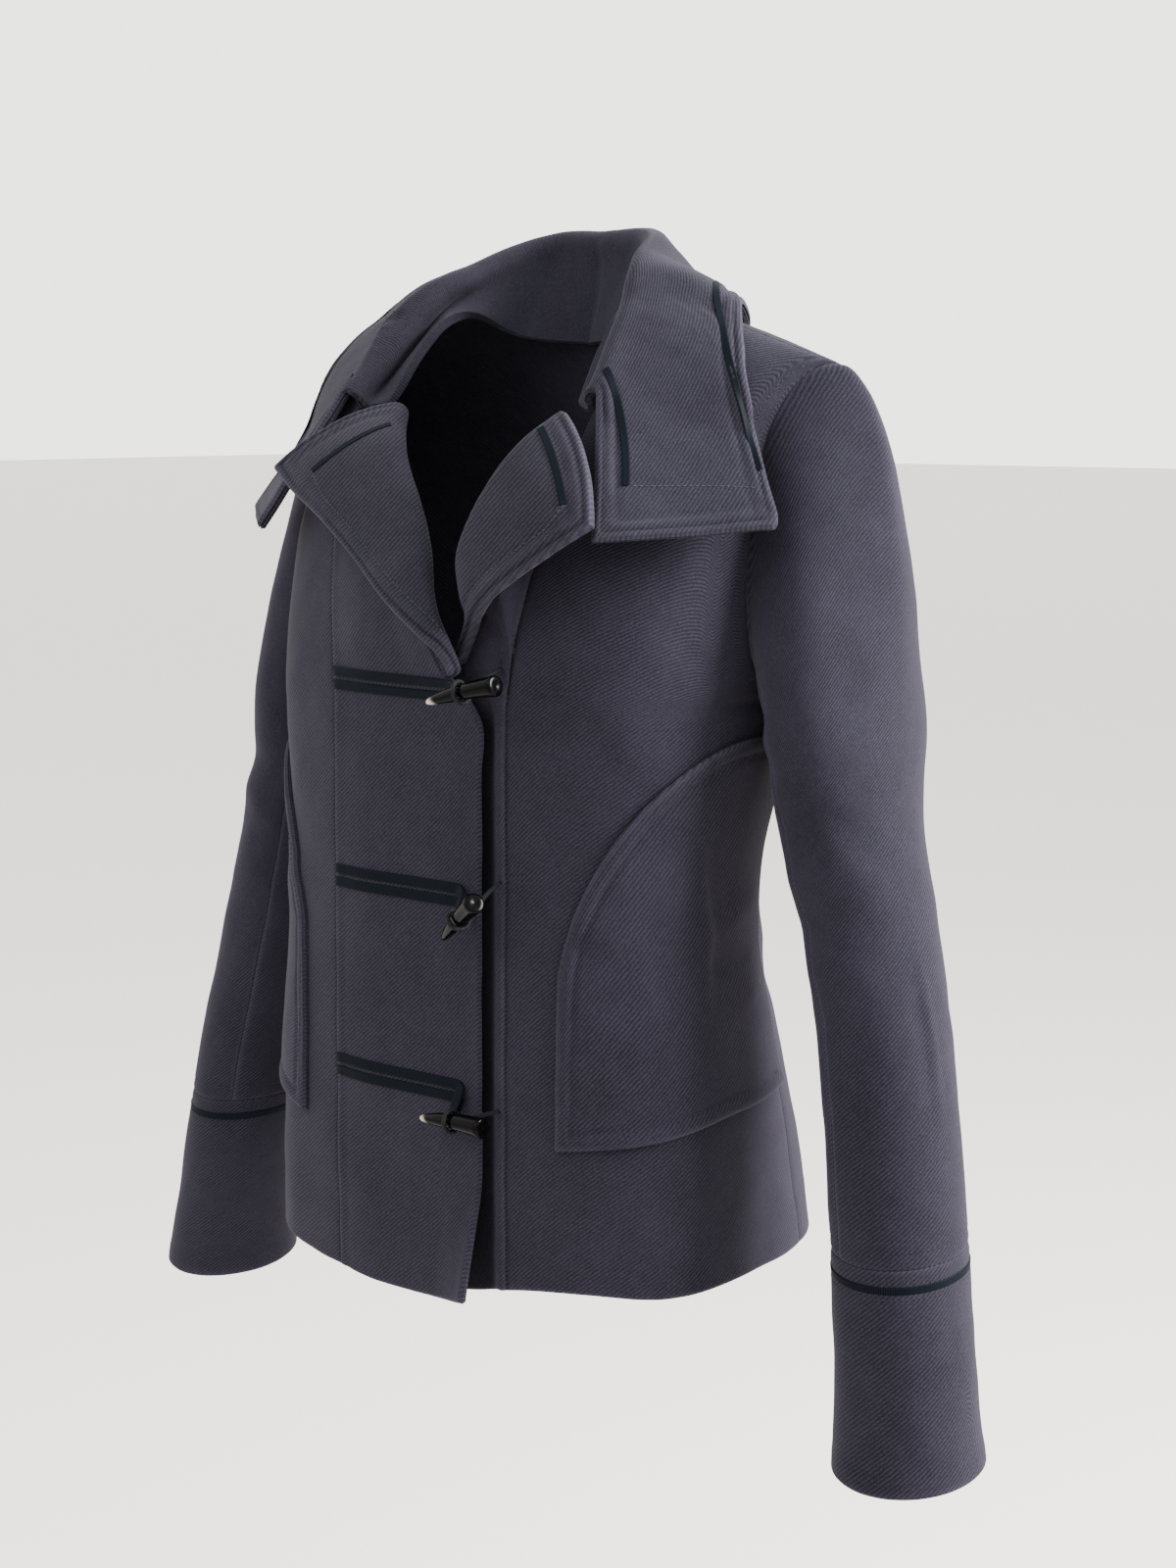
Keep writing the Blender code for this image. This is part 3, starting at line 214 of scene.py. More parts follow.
BAND_TOP = (1.50, 1.36)         # levels where the right and the left band end, short of the notch
BAND_END_STATION = (0.14, 0.30)  # the lapels' stations there
BAND_ROLL = 0.36                # share of a band's upper part below the lapel's roll

# The pocket patch
PATCH_FRONT_X = 99 * MM
PATCH_BOTTOM = (0.25, 0.30)     # levels of its bottom edge, in front and at the side seam
PATCH_TOP = (0.54, 0.945)       # levels where its front edge starts to curve, and of its top
PATCH_CURVE_SHARE = 0.75
PATCH_CURVE_POWER = 1.6

# Loops and toggles, top to bottom
LOOP_HEIGHTS = (-0.2255, -0.3425, -0.4565)
LOOP_START_X = -0.0675          # on the right band's seam
LOOP_END_X = 0.041              # under the toggle's waist
LOOP_SPREAD = 3.9 * MM          # from the middle of a loop to the middle of each of its two tapes
LOOP_TAPE = (6.2 * MM, 1.2 * MM)  # width and thickness
TOGGLE_ENDS = (                 # flat end, then point
    ((0.0880, -0.1212, -0.2180), (0.0355, -0.1212, -0.2285)),
    ((0.0765, -0.1270, -0.3380), (0.0360, -0.1100, -0.3640)),
    ((0.0690, -0.1130, -0.4700), (0.0190, -0.1110, -0.4700)),
)
TOGGLE_BOW = 4 * MM             # sag of a toggle's point
CORD_RADIUS = 1.3 * MM
CORD_LAY = 1.8 * MM             # air under a cord's end
WAIST_RADIUS = 4.4 * MM
CORD_ROOT = (0.0640, 0.0050)    # where a toggle's cord leaves the left band's seam: x, and height above it

# Ribbons let into the collar, lapels and cuffs
RIBBON_WIDTH = 4.5 * MM
RIBBON_INSET = 20 * MM          # from a leaf's edge to its ribbon
EDGE_RIBBON_REACH = 0.73        # station where the ribbon along the collar's edge ends
# Both ends of a ribbon: station and place across the leaf
COLLAR_END_RIBBON = (np.array((0.920, 0.41)), np.array((0.952, 0.82)))
LAPEL_RIBBON = (np.array((0.09, 0.42)), np.array((0.14, 0.84)))
CUFF_RIBBON = 0.09              # place of the ribbon down the cuff, as a share of its length

BODY_TREE_GRID = (24, 40)        # the finer faces that the leaves are laid on
CORD_STEPS = 60
CORD_TURNS = 18                 # steps of 17 degrees round a toggle's waist


def smooth_at(keys, values, at):
    """A smooth curve through values (numbers or points) given at rising keys."""
    keys = np.asarray(keys, float)
    values = np.asarray(values, float)
    at = min(max(at, keys[0]), keys[-1])
    k = min(max(int(np.searchsorted(keys, at, side="right")) - 1, 0), len(keys) - 2)
    span = keys[k + 1] - keys[k]
    chord = (values[k + 1] - values[k]) / span
    before = (values[k] - values[k - 1]) / (keys[k] - keys[k - 1]) if k > 0 else chord
    after = (values[k + 2] - values[k + 1]) / (keys[k + 2] - keys[k + 1]) if k + 2 < len(keys) else chord
    start = (before + chord) / 2
    end = (chord + after) / 2
    t = (at - keys[k]) / span
    return (values[k] * (2 * t**3 - 3 * t**2 + 1) + start * span * (t**3 - 2 * t**2 + t)
            + values[k + 1] * (3 * t**2 - 2 * t**3) + end * span * (t**3 - t**2))


def table_row(table, at):
    """One smooth row of a table at a value of its first column."""
    return smooth_at([row[0] for row in table], [row[1:] for row in table], at)


def step_between(low, high, value):
    t = min(max((value - low) / (high - low), 0.0), 1.0)
    return t * t * (3 - 2 * t)


def mix(a, b, t):
    return a + (b - a) * t


def signed_power(value, power):
    return math.copysign(abs(value) ** power, value)


def body_point(turn, level):
    """A point on the outside of the body: turn in degrees from the centre front towards the wearer's left,
    level 0 at the hem, 1 at the armpits and 2 on the shoulder seam."""
    turn = (turn + 180.0) % 360.0 - 180.0
    angle = math.radians(turn)
    front = abs(turn) <= 90.0
    power = FRONT_POWER if front else BACK_POWER
    across = signed_power(math.sin(angle), 2 / power)
    along = abs(math.cos(angle)) ** (2 / power)
    if level <= 1.0:
        half, front_depth, back_depth, axis_y = table_row(BODY, level)
        depth = -front_depth if front else back_depth
        hem = smooth_at([row[0] for row in HEM], [row[1] for row in HEM], turn)
        return np.array([half * across, axis_y + depth * along, mix(hem, -ARMPIT_DEPTH, level)])
    front_half, back_half = table_row(YOKE, level)
    side_blend = step_between(80.0, 100.0, abs(turn))
    half = mix(front_half, back_half, side_blend)
    x = half * across
    climb = math.radians((level - 1.0) * 90.0)
    arch = FRONT_ARCH if front else BACK_ARCH
    up = math.sin(climb) ** (2 / arch)
    out = max(math.cos(climb), 0.0) ** (2 / arch)
    seam = (abs(x) - NECK_HALF) / (SHOULDER_HALF - NECK_HALF)
    ridge_y = mix(*SHOULDER_Y, max(seam, -0.6))
    ridge_z = -SHOULDER_DROP * max(seam, 0.0)
    axis_y = mix(ARMPIT_Y, ridge_y, up)
    depth = -FRONT_DEPTH if front else BACK_DEPTH
    return np.array([x, axis_y + depth * out * along, mix(-ARMPIT_DEPTH, ridge_z, up)])


def right_front_point(turn, level):
    """The right front, which rises off the body to lie over the left front."""
    point = body_point(turn, level)
    lift = (BAND_CLOTH + WRAP_AIR) * step_between(-0.105, -0.028, point[0])
    swing = CORNER_SWING * step_between(0.015, 0.075, point[0]) * step_between(0.22, 0.0, level)
    point[1] -= lift + swing
    return point


def front_point(side):
    return body_point if side > 0 else right_front_point


def normal_of(surface, u, v):
    """Unit normal of surface(u, v) by small steps, facing out where u runs left to right and v runs up."""
    du = 0.004
    across = surface(u + du, v) - surface(u - du, v)
    up = surface(u, v + du) - surface(u, v - du)
    normal = np.cross(across, up)
    return normal / np.linalg.norm(normal)


def band_seam_turn(level):
    """Degrees round the body of the left band's seam."""
    if level >= 1.0:
        return float(table_row(BAND_SEAM_TOP, level)[0])
    half = table_row(BODY, level)[0]
    return math.degrees(math.asin((BAND_HALF / half) ** (FRONT_POWER / 2)))


def turn_at_x(x, level):
    half = table_row(BODY, level)[0] if level <= 1.0 else table_row(YOKE, level)[0]
    return math.degrees(math.asin(signed_power(x / half, FRONT_POWER / 2)))


def front_outer_turn(level):
    return SIDE_TURN if level <= 1.0 else float(table_row(ARMHOLE_FRONT, level)[0])


def back_outer_turn(level):
    return SIDE_TURN if level <= 1.0 else float(table_row(ARMHOLE_BACK, level)[0])


def neck_level(turn):
    """The level where the back neckline cuts the body, by degrees round."""
    return 2.0 - 0.33 * step_between(157.0, 178.0, 180.0 - abs(180.0 - turn % 360.0))


def panel_level(v, top=2.0):
    """Even rows: below the armpit and above it, each with its share of v."""
    share = 0.62
    return v / share if v <= share else 1.0 + (top - 1.0) * (v - share) / (1 - share)


def front_side_surface(side):
    point_at = front_point(side)

    def surface(u, v):
        level = panel_level(v, SHOULDER_TOP)
        start, end = band_seam_turn(level) + SEAM_TURN, front_outer_turn(level) - SEAM_TURN
        point = point_at(side * mix(start, end, u), level)
        point[1] -= SHOULDER_GAP * step_between(1.8, 2.0, level)
        return point
    return surface


def back_surface(u, v):
    side = back_outer_turn(panel_level(v)) + SEAM_TURN
    level = panel_level(v, neck_level(90.0 + 180.0 * u))
    point = body_point(mix(side, 360.0 - side, u), min(level, SHOULDER_TOP))
    point[1] += SHOULDER_GAP * step_between(1.8, 2.0, level)
    return point


def unit(vector):
    return vector / np.linalg.norm(vector)


def fold_point(base, crest, edge, along, radius, spring, q):
    """A point of a folded leaf: q is 0 on its inner end, 1 on its outer edge, with a round roll between.
    The leaf leaves the roll a few degrees (spring) above the straight way to its edge."""
    up = crest - (base + edge) / 2
    up = unit(up - along * np.dot(up, along))
    aside = np.cross(along, up)
    aside = aside * math.copysign(1.0, np.dot(aside, edge - base))
    centre = crest - up * radius
    reach = edge - centre
    leaf_turn = math.atan2(np.dot(reach, aside), np.dot(reach, up)) - math.radians(spring)
    leaf_turn = min(max(leaf_turn, math.radians(60)), math.pi)
    near = centre - aside * radius
    if q < FOLD_START:
        return hermite(base, near, unit(near - base), up, np.linalg.norm(near - base), q / FOLD_START)
    turn = leaf_turn * min((q - FOLD_START) / (FOLD_END - FOLD_START), 1.0)
    point = centre + radius * (up * math.sin(turn) - aside * math.cos(turn))
    if q <= FOLD_END:
        return point
    way = aside * math.sin(turn) + up * math.cos(turn)
    straight = edge - point
    skew = abs(np.dot(unit(straight), along))
    way = unit(mix(way, unit(straight), skew))
    drop = unit(unit(straight) * 2 - way)
    return hermite(point, edge, way, drop, np.linalg.norm(straight), (q - FOLD_END) / (1 - FOLD_END))


def hermite(start, end, start_way, end_way, reach, t):
    """A smooth run from start to end that leaves and arrives along two unit ways."""
    return (start * (2 * t**3 - 3 * t**2 + 1) + start_way * reach * (t**3 - 2 * t**2 + t)
            + end * (3 * t**2 - 2 * t**3) + end_way * reach * (t**3 - t**2))


def points_at(table, station, column=1):
    return smooth_at([row[0] for row in table], [row[column] for row in table], station)


def collar_edge(station):
    if station <= COLLAR_CORNER:
        return points_at(COLLAR_EDGE_BACK, station)
    return points_at(COLLAR_EDGE_FRONT, station)


def body_tree():
    """The outside of the fronts, bands and back, for laying the collar and lapels on."""
    points, faces = [], []
    across, up = BODY_TREE_GRID
    sheets = ((front_side_surface(1), False), (front_side_surface(-1), True), (back_surface, False),
              (band_surface(1), False), (band_surface(-1), False))
    for surface, flip in sheets:
        first = len(points)
        points += [surface(c / across, r / up) for r in range(up + 1) for c in range(across + 1)]
        for r in range(up):
            for c in range(across):
                a = first + r * (across + 1) + c
                face = (a, a + 1, a + across + 2, a + across + 1)
                faces.append(face[::-1] if flip else face)
    return BVHTree.FromPolygons([tuple(p) for p in points], faces)


def laid(tree, point, v):
    """A leaf's point, brought gently up off the body where it would come too near. v is its place on the
    leaf. Nothing is moved on the stand or the roll, or where the nearest point is an edge of the body."""
    weight = step_between(FOLD_START + 0.08, FOLD_END + 0.02, v)
    if weight == 0.0:
        return point
    near, normal, _, distance = tree.find_nearest(Vector(point))
    height = (Vector(point) - near).dot(normal)
    weight *= step_between(0.35, 0.80, abs(height) / max(distance, 1e-6))
    short = LEAF + LEAF_LAY - height
    push = (short + math.sqrt(short * short + LEAF_SOFT ** 2)) / 2
    return point + np.array(normal) * push * weight


def on_body(tree, surface):
    def laid_surface(u, v):
        return laid(tree, surface(u, v), v)
    return laid_surface


def collar_surface(u, v):
    """u runs 0 to 1 from the right front end round the back to the left front end; v from stand to edge."""
    station = min(abs(2 * u - 1), 1.0)
    step = 0.01
    ahead, behind = min(station + step, 1.0), max(station - step, 0.0)
    along = points_at(COLLAR_CREST, ahead) - points_at(COLLAR_CREST, behind)
    if station < step:
        along = np.array([1.0, 0.0, 0.0])
    crest = points_at(COLLAR_CREST, station)
    if u < 0.5:
        crest[2] -= RIGHT_CREST_DROP * step_between(0.05, 0.40, station) * step_between(1.0, 0.80, station)
    point = fold_point(points_at(COLLAR_BASE, station), crest, collar_edge(station), unit(along), COLLAR_FOLD,
                       COLLAR_SPRING, v)
    return point * (math.copysign(1.0, 2 * u - 1), 1, 1)


def lapel_frame(table, station):
    """Crest, edge, way along the roll, way up out of the roll and way out of the leaf's face."""
    crest, edge = points_at(table, station), points_at(table, station, 2)
    step = 0.02
    along = unit(points_at(table, min(station + step, table[-1][0])) - points_at(table, max(station - step, 0.0)))
    steady = min(station, LAPEL_STEADY)
    up = points_at(table, steady) - points_at(table, steady, 2)
    up = unit(up - along * np.dot(up, along))
    aside = np.cross(along, up)
    aside = aside * math.copysign(1.0, -aside[1])
    return crest, edge, along, up, aside


def lapel_surface(table):
    """u runs down the roll from the notch to the front edge; v from the facing inside to the leaf's edge."""
    def surface(u, v):
        station = mix(LAPEL_TOP, 1.0, max(u, 0.0))
        crest, edge, along, up, aside = lapel_frame(table, station)
        radius = mix(LAPEL_FOLD, LAPEL_FOLD_LOW, station)
        base = crest - up * (LAPEL_FLAP + radius) - aside * (1 + FLAP_LEAN) * radius
        return fold_point(base, crest, edge, along, radius, LAPEL_SPRING, v)
    return surface


def under_flap(table, station):
    """The band's edge, where it meets the end of the lapel's facing inside the roll."""
    crest, _, _, up, aside = lapel_frame(table, station)
    radius = mix(LAPEL_FOLD, LAPEL_FOLD_LOW, station)
    gap = FLAP_GAP[table is LAPEL_LEFT] + BREAK_GAP * step_between(0.70, 0.95, station)
    return crest - up * (LAPEL_FLAP + radius + gap) - aside * ((1 + FLAP_LEAN) * radius - LEAF + BREAK_GAP)


def band_surface(side):
    """A front band: the free edge to the seam. Above the chest its free edge follows the lapel's roll."""
    point_at = front_point(side)
    table = LAPEL_LEFT if side > 0 else LAPEL_RIGHT
    free_x = -UNDERLAP if side > 0 else OVERLAP
    low_top, top, end_station = BAND_TURN_OFF, BAND_TOP[side > 0], BAND_END_STATION[side > 0]
    turn_off = BAND_LEAVE[side < 0]
    low_share = 0.66

    def surface(u, v):
        to_seam = u if side > 0 else 1 - u
        if v <= low_share:
            level = low_top * v / low_share
            seam = side * (band_seam_turn(level) - SEAM_TURN)
            return point_at(mix(turn_at_x(free_x, level), seam, to_seam), level)
        t = (v - low_share) / (1 - low_share)
        level = mix(low_top, top, t)
        seam_turn = band_seam_turn(level) - SEAM_TURN
        seam = point_at(side * seam_turn, level)
        start = point_at(turn_at_x(free_x, low_top), low_top)
        leave = point_at(turn_at_x(free_x, turn_off), turn_off)
        if t >= BAND_ROLL:
            edge = under_flap(table, mix(1.0, end_station, (t - BAND_ROLL) / (1 - BAND_ROLL)))
        else:
            keys = (0.0, (turn_off - low_top) / (top - low_top), BAND_ROLL, BAND_ROLL + 0.16)
            edge = smooth_at(keys, [start, leave, under_flap(table, 1.0), under_flap(table, 0.78)], t)
        middle = point_at(mix(turn_at_x(free_x, low_top), side * band_seam_turn(low_top), to_seam), low_top)
        straight = mix(edge, seam, to_seam)
        belly = middle - mix(start, point_at(side * band_seam_turn(low_top), low_top), to_seam)
        return straight + belly * (1 - t)
    return surface


def armhole_point(around):
    """The armhole's edge: 0 at the shoulder tip, 90 in front, 180 at the armpit and 270 behind."""
    front = around <= 180.0
    share = around / 180.0 if front else (360.0 - around) / 180.0
    levels = np.linspace(2.0, 1.0, 41)
    table = ARMHOLE_FRONT if front else ARMHOLE_BACK
    points = [body_point(float(table_row(table, level)[0]), min(level, 1.999)) for level in levels]
    lengths = np.concatenate([[0.0], np.cumsum([np.linalg.norm(b - a) for a, b in zip(points, points[1:])])])
    return smooth_at(lengths, points, share * lengths[-1])


ARMHOLE_TURNS = list(range(-12, 373, 6))
ARMHOLE = [armhole_point(around % 360) for around in ARMHOLE_TURNS]


def armhole_at(around):
    """The armhole's edge, smooth between points worked out every few degrees."""
    return smooth_at(ARMHOLE_TURNS, ARMHOLE, around % 360.0)


def ring_point(around, height):
    """A point of the sleeve's ring at a height."""
    centre_x, centre_y, half_across, half_deep = table_row([(-row[0],) + row[1:] for row in SLEEVE], -height)
    angle = math.radians(around)
    forward = half_deep * math.sin(angle)
    slant = SLEEVE_SLANT * step_between(-0.42, -0.52, height)
    return np.array([centre_x + half_across * math.cos(angle), centre_y - forward, height - slant * forward])


def sleeve_point(around, along):
    """A point of the left sleeve: along is 0 at the armhole, 1 at the upper arm, 2 at the cuff's seam
    and 3 at the cuff's hem."""
    if along > 2.0:
        return ring_point(around, mix(CUFF_SEAM_HEIGHT, CUFF_HEM_HEIGHT, along - 2.0))
    upper = SLEEVE[0][0]
    if along > 1.0:
        return ring_point(around, mix(upper, CUFF_SEAM_HEIGHT, along - 1.0))
    angle = math.radians(around)
    outward = unit(np.array([0.62 + 0.38 * math.cos(angle), -0.30 * math.sin(angle),
                             -0.62 + 0.34 * math.cos(angle)]))
    start = armhole_at(around) + outward * ARMHOLE_GAP
    end = ring_point(around, upper)
    fall = unit(ring_point(around, upper - 0.02) - end)
    chord = np.linalg.norm(end - start)
    t = along
    return (start * (2 * t**3 - 3 * t**2 + 1) + outward * chord * TOP_REACH * 2 * (t**3 - 2 * t**2 + t)
            + end * (3 * t**2 - 2 * t**3) + fall * chord * FALL_REACH * (t**3 - t**2))


def worn_sleeve_point(side, around, along):
    """The same on either side; the right sleeve is pushed up the arm."""
    point = sleeve_point(around, along)
    if side < 0:
        point[2] -= (point[2] + ARMPIT_DEPTH) * RIGHT_SLEEVE_RISE * step_between(-0.2, -0.35, point[2])
    return point * (side, 1, 1)


def sleeve_surface(side, start, end, low, high):
    """Part of a sleeve between two lines along it, in degrees round, and two places along it."""
    def surface(u, v):
        return worn_sleeve_point(side, mix(start, end, u), mix(high, low, v))
    return surface


def patch_surface(side):
    """The pocket patch: u from its front edge to the side seam, v from its bottom to its rounded top."""
    point_at = front_point(side)

    def surface(u, v):
        bottom = mix(*PATCH_BOTTOM, u)
        bend = min(max(u / PATCH_CURVE_SHARE, 0.0), 1.0)
        rise = (1 - (1 - bend) ** PATCH_CURVE_POWER) ** (1 / PATCH_CURVE_POWER)
        top = mix(*PATCH_TOP, rise)
        level = mix(bottom, top, v)
        turn = mix(turn_at_x(PATCH_FRONT_X, level), SIDE_TURN - 1.2, u)
        return point_at(side * turn, level)
    return surface


def find_on(surface, x, z, start):
    """The (u, v) of the point of a surface at a given x and height."""
    u, v = start
    step = 0.002
    for _ in range(30):
        point = surface(u, v)
        miss = np.array([x - point[0], z - point[2]])
        across = (surface(u + step, v) - point) / step
        up = (surface(u, v + step) - point) / step
        slope = np.array([[across[0], up[0]], [across[2], up[2]]])
        du, dv = np.linalg.solve(slope, miss)
        u, v = u + du, v + dv
    return u, v


def find_level(point_at, x, z):
    low, high = 0.0, 2.0
    for _ in range(40):
        middle = (low + high) / 2
        if point_at(turn_at_x(x, middle), middle)[2] < z:
            low = middle
        else:
            high = middle
    return low


def toggle_axis_point(disc, tip, down, share):
    """A point of a toggle's bowed axis, at a share of its length from the flat end."""
    return disc + (tip - disc) * share + down * TOGGLE_BOW * (share ** 2 - share * 0.4)


def cord_points(disc, tip):
    """A toggle's cord: out of the left band's seam, along the toggle and once round its waist."""
    disc, tip = np.array(disc), np.array(tip)
    axis = unit(tip - disc)
    down = unit(np.array([0, 0, -1.0]) + axis * axis[2])
    out = np.cross(axis, down)
    out = out * math.copysign(1.0, -out[1])
    waist = toggle_axis_point(disc, tip, down, 0.50)
    ring = WAIST_RADIUS + CORD_RADIUS + CORD_AIR
    points = []
    for k in range(CORD_TURNS + 1):
        angle = math.radians(200 + 17 * k)
        slip = axis * CORD_RADIUS * 2.3 * (k / CORD_TURNS - 0.5)
        points.append(waist + ring * (out * math.cos(angle) - down * math.sin(angle)) + slip)
    x, rise = CORD_ROOT
    level = find_level(body_point, x, disc[2] + rise)
    root = body_point(turn_at_x(x, level), level)
    root[1] -= CORD_RADIUS + CORD_LAY
    first = points[0]
    lead = [root, mix(root, first, 0.35) + np.array([0, -2.5 * MM, 1 * MM]),
            mix(root, first, 0.72) + np.array([0, -1.5 * MM, 1 * MM])]
    run = lead + points
    keys = np.arange(len(run), dtype=float)
    return [smooth_at(keys, run, t) for t in np.linspace(0, len(run) - 1, CORD_STEPS)]


def collar_edge_path(t):
    """The ribbon along the collar's edge, at an even distance from it."""
    side = 2 * t - 1
    station = abs(side) * EDGE_RIBBON_REACH
    reach = np.linalg.norm(collar_edge(station) - points_at(COLLAR_CREST, station))
    share = 1 - (1 - FOLD_END) * RIBBON_INSET / reach
    return (1 + math.copysign(station, side)) / 2, share


def collar_end_path(side):
    """The ribbon down the collar's front end."""
    def path(t):
        station, v = mix(*COLLAR_END_RIBBON, t)
        return (1 + side * station) / 2, v
    return path


def lapel_path(t):
    """The ribbon across a lapel's upper edge, from its roll out."""
    return mix(*LAPEL_RIBBON, t)


# Making of the cloth shells
SPACING = 3.7 * MM              # between the points of a shell
EDGE_STEPS = np.array((0.0, 0.3, 0.7, 1.2, 1.9, 2.8, 4.2)) * MM  # finer steps beside an edge
RIM_ROWS = 7
# How a shell's edge ends: radius of its rounding, bulge, and depth of the groove between two layers
SEAM = (0.9 * MM, 0.0, 0.0)
FREE = (1.4 * MM, 0.7 * MM, 0.0)
DOUBLE = (1.4 * MM, 1.0 * MM, 1.9 * MM)
HIDDEN = (0.3 * MM, 0.0, 0.0)
RIM = (2.2 * MM, 0.5 * MM, 0.0)
PATCH_AIR = 0.15 * MM           # between a pocket patch and the panel that it lies on

# Creases: places along one, its width and its height in millimetres (a trough below zero). On the body a place
# is degrees round from the centre front and a level; on a sleeve it is degrees round and a place along it.
BODY_CREASES = (
    (((92, 1.03), (74, 0.97), (56, 0.95)), 11, -1.5),
    (((88, 1.10), (72, 1.06), (60, 1.07)), 9, 0.9),
    (((24, 1.06), (38, 1.01), (52, 0.97)), 8, 0.8),
    (((24, 1.02), (36, 0.95), (46, 0.90)), 7, -0.8),
    (((25, 0.66), (38, 0.65), (54, 0.61)), 8, 0.9),
    (((25, 0.63), (40, 0.60), (58, 0.54)), 7, -0.8),
    (((24, 0.33), (34, 0.37), (44, 0.45)), 8, 0.8),
    (((106, 0.66), (90, 0.62), (74, 0.62)), 9, 1.5),
    (((107, 0.58), (92, 0.55), (80, 0.56)), 8, -1.6),
    (((105, 0.49), (93, 0.48), (84, 0.50)), 7, 0.9),
    (((40, 0.0), (42, 0.10), (40, 0.24)), 17, -1.4),
    (((66, 0.0), (64, 0.10), (66, 0.20)), 20, 1.6),
    (((92, 0.0), (95, 0.12), (94, 0.26)), 15, -1.7),
    (((-95, 1.05), (-76, 0.99), (-60, 0.99)), 10, -1.4),
    (((-28, 1.04), (-44, 1.00), (-58, 1.01)), 8, 0.8),
    (((-29, 0.68), (-46, 0.66), (-66, 0.60)), 8, 0.9),
    (((-29, 0.62), (-42, 0.58), (-56, 0.57)), 7, -0.8),
    (((-107, 0.63), (-92, 0.58), (-72, 0.59)), 9, -1.6),
    (((-105, 0.55), (-94, 0.51), (-82, 0.51)), 8, 1.3),
    (((-36, 0.0), (-38, 0.12), (-35, 0.22)), 16, 1.3),
    (((-58, 0.0), (-60, 0.10), (-57, 0.24)), 18, -1.6),
    (((-88, 0.0), (-85, 0.12), (-88, 0.21)), 17, 1.5),
    (((8, 0.0), (9, 0.07), (7, 0.15)), 10, 0.8),
    (((-14, 0.0), (-13, 0.08), (-15, 0.17)), 11, -0.9),
    (((140, 0.62), (158, 0.57), (179, 0.57), (197, 0.60)), 10, -2.0),
    (((150, 0.53), (170, 0.49), (192, 0.50)), 9, 1.7),
    (((186, 0.67), (206, 0.64), (226, 0.66), (238, 0.70)), 10, 1.6),
    (((204, 0.58), (222, 0.54), (240, 0.56)), 9, -1.8),
    (((112, 0.60), (124, 0.55), (140, 0.54)), 9, 1.6),
    (((113, 0.52), (126, 0.47), (146, 0.45)), 8, -1.2),
    (((247, 0.63), (236, 0.59), (220, 0.62)), 8, 1.2),
    (((124, 1.16), (134, 1.02), (150, 0.86)), 13, -2.2),
    (((123, 1.32), (138, 1.18), (155, 1.02)), 12, 1.5),
    (((236, 1.14), (226, 0.98), (214, 0.88)), 12, -2.0),
    (((237, 1.30), (224, 1.14), (204, 1.02)), 13, 1.6),
    (((150, 1.62), (168, 1.56), (188, 1.57), (208, 1.63)), 11, -1.0),
    (((136, 0.0), (138, 0.14), (134, 0.30)), 20, -2.0),
    (((160, 0.0), (157, 0.12), (161, 0.24)), 22, 2.0),
    (((188, 0.0), (190, 0.15), (187, 0.33)), 20, -1.8),
    (((214, 0.0), (211, 0.10), (214, 0.22)), 22, 2.0),
    (((238, 0.0), (241, 0.14), (238, 0.27)), 17, -1.7),
    (((84, 1.55), (72, 1.62), (58, 1.74)), 12, -1.0),
    (((-84, 1.50), (-70, 1.58), (-58, 1.72)), 12, -1.1),
)
SLEEVE_CREASES = (
    (((30, 1.15), (62, 1.11), (98, 1.14), (140, 1.12)), 9, -1.7),
    (((26, 1.24), (60, 1.20), (104, 1.25), (160, 1.22)), 9, 1.7),
    (((38, 1.33), (78, 1.31), (126, 1.35), (170, 1.33)), 9, -1.6),
    (((48, 1.44), (92, 1.41), (142, 1.45)), 8, 1.2),
    (((66, 1.54), (108, 1.53), (150, 1.57)), 8, -1.0),
    (((13, 1.38), (12, 1.48), (11, 1.60), (9, 1.74)), 4, 1.3),
    (((20, 1.38), (20, 1.50), (19, 1.62), (17, 1.72)), 7, -0.8),
    (((104, 0.70), (140, 0.60), (176, 0.62), (205, 0.72)), 9, -2.2),
    (((96, 0.86), (134, 0.80), (176, 0.82), (212, 0.90)), 9, 1.9),
    (((106, 1.02), (150, 0.95), (196, 0.98)), 8, -1.6),
    (((226, 0.74), (256, 0.66), (284, 0.78)), 9, -1.7),
    (((220, 0.92), (252, 0.86), (292, 0.95)), 9, 1.5),
    (((214, 1.22), (244, 1.19), (276, 1.23)), 9, -1.6),
    (((222, 1.34), (256, 1.36), (296, 1.32)), 9, 1.5),
    (((236, 1.47), (270, 1.45), (308, 1.50)), 9, -1.3),
    (((300, 1.70), (318, 1.60), (336, 1.52)), 9, 1.1),
    (((20, 0.42), (32, 0.62), (38, 0.86)), 14, -1.1),
    (((62, 0.36), (66, 0.58), (72, 0.84)), 14, 1.0),
    (((308, 0.40), (316, 0.62), (322, 0.88)), 13, -1.3),
    (((150, 1.76), (186, 1.72), (226, 1.77)), 9, 1.0),
    (((60, 2.35), (86, 2.55), (92, 2.86)), 14, -0.8),
    (((210, 2.30), (232, 2.60), (236, 2.90)), 15, 1.0),
    (((318, 2.40), (330, 2.62), (334, 2.88)), 14, -0.9),
)
POCKET_BAG = ((0.62, 0.80), (0.68, 0.62), (0.71, 0.45), (0.69, 0.27))  # a ridge pressed through each patch
PATCH_RIM = 9.5 * MM            # from a patch's edge to its stitching
PRESS_MARKS = ((0.0905, -0.2235), (0.0800, -0.3415), (0.0815, -0.4625))  # beside each toggle: x and height


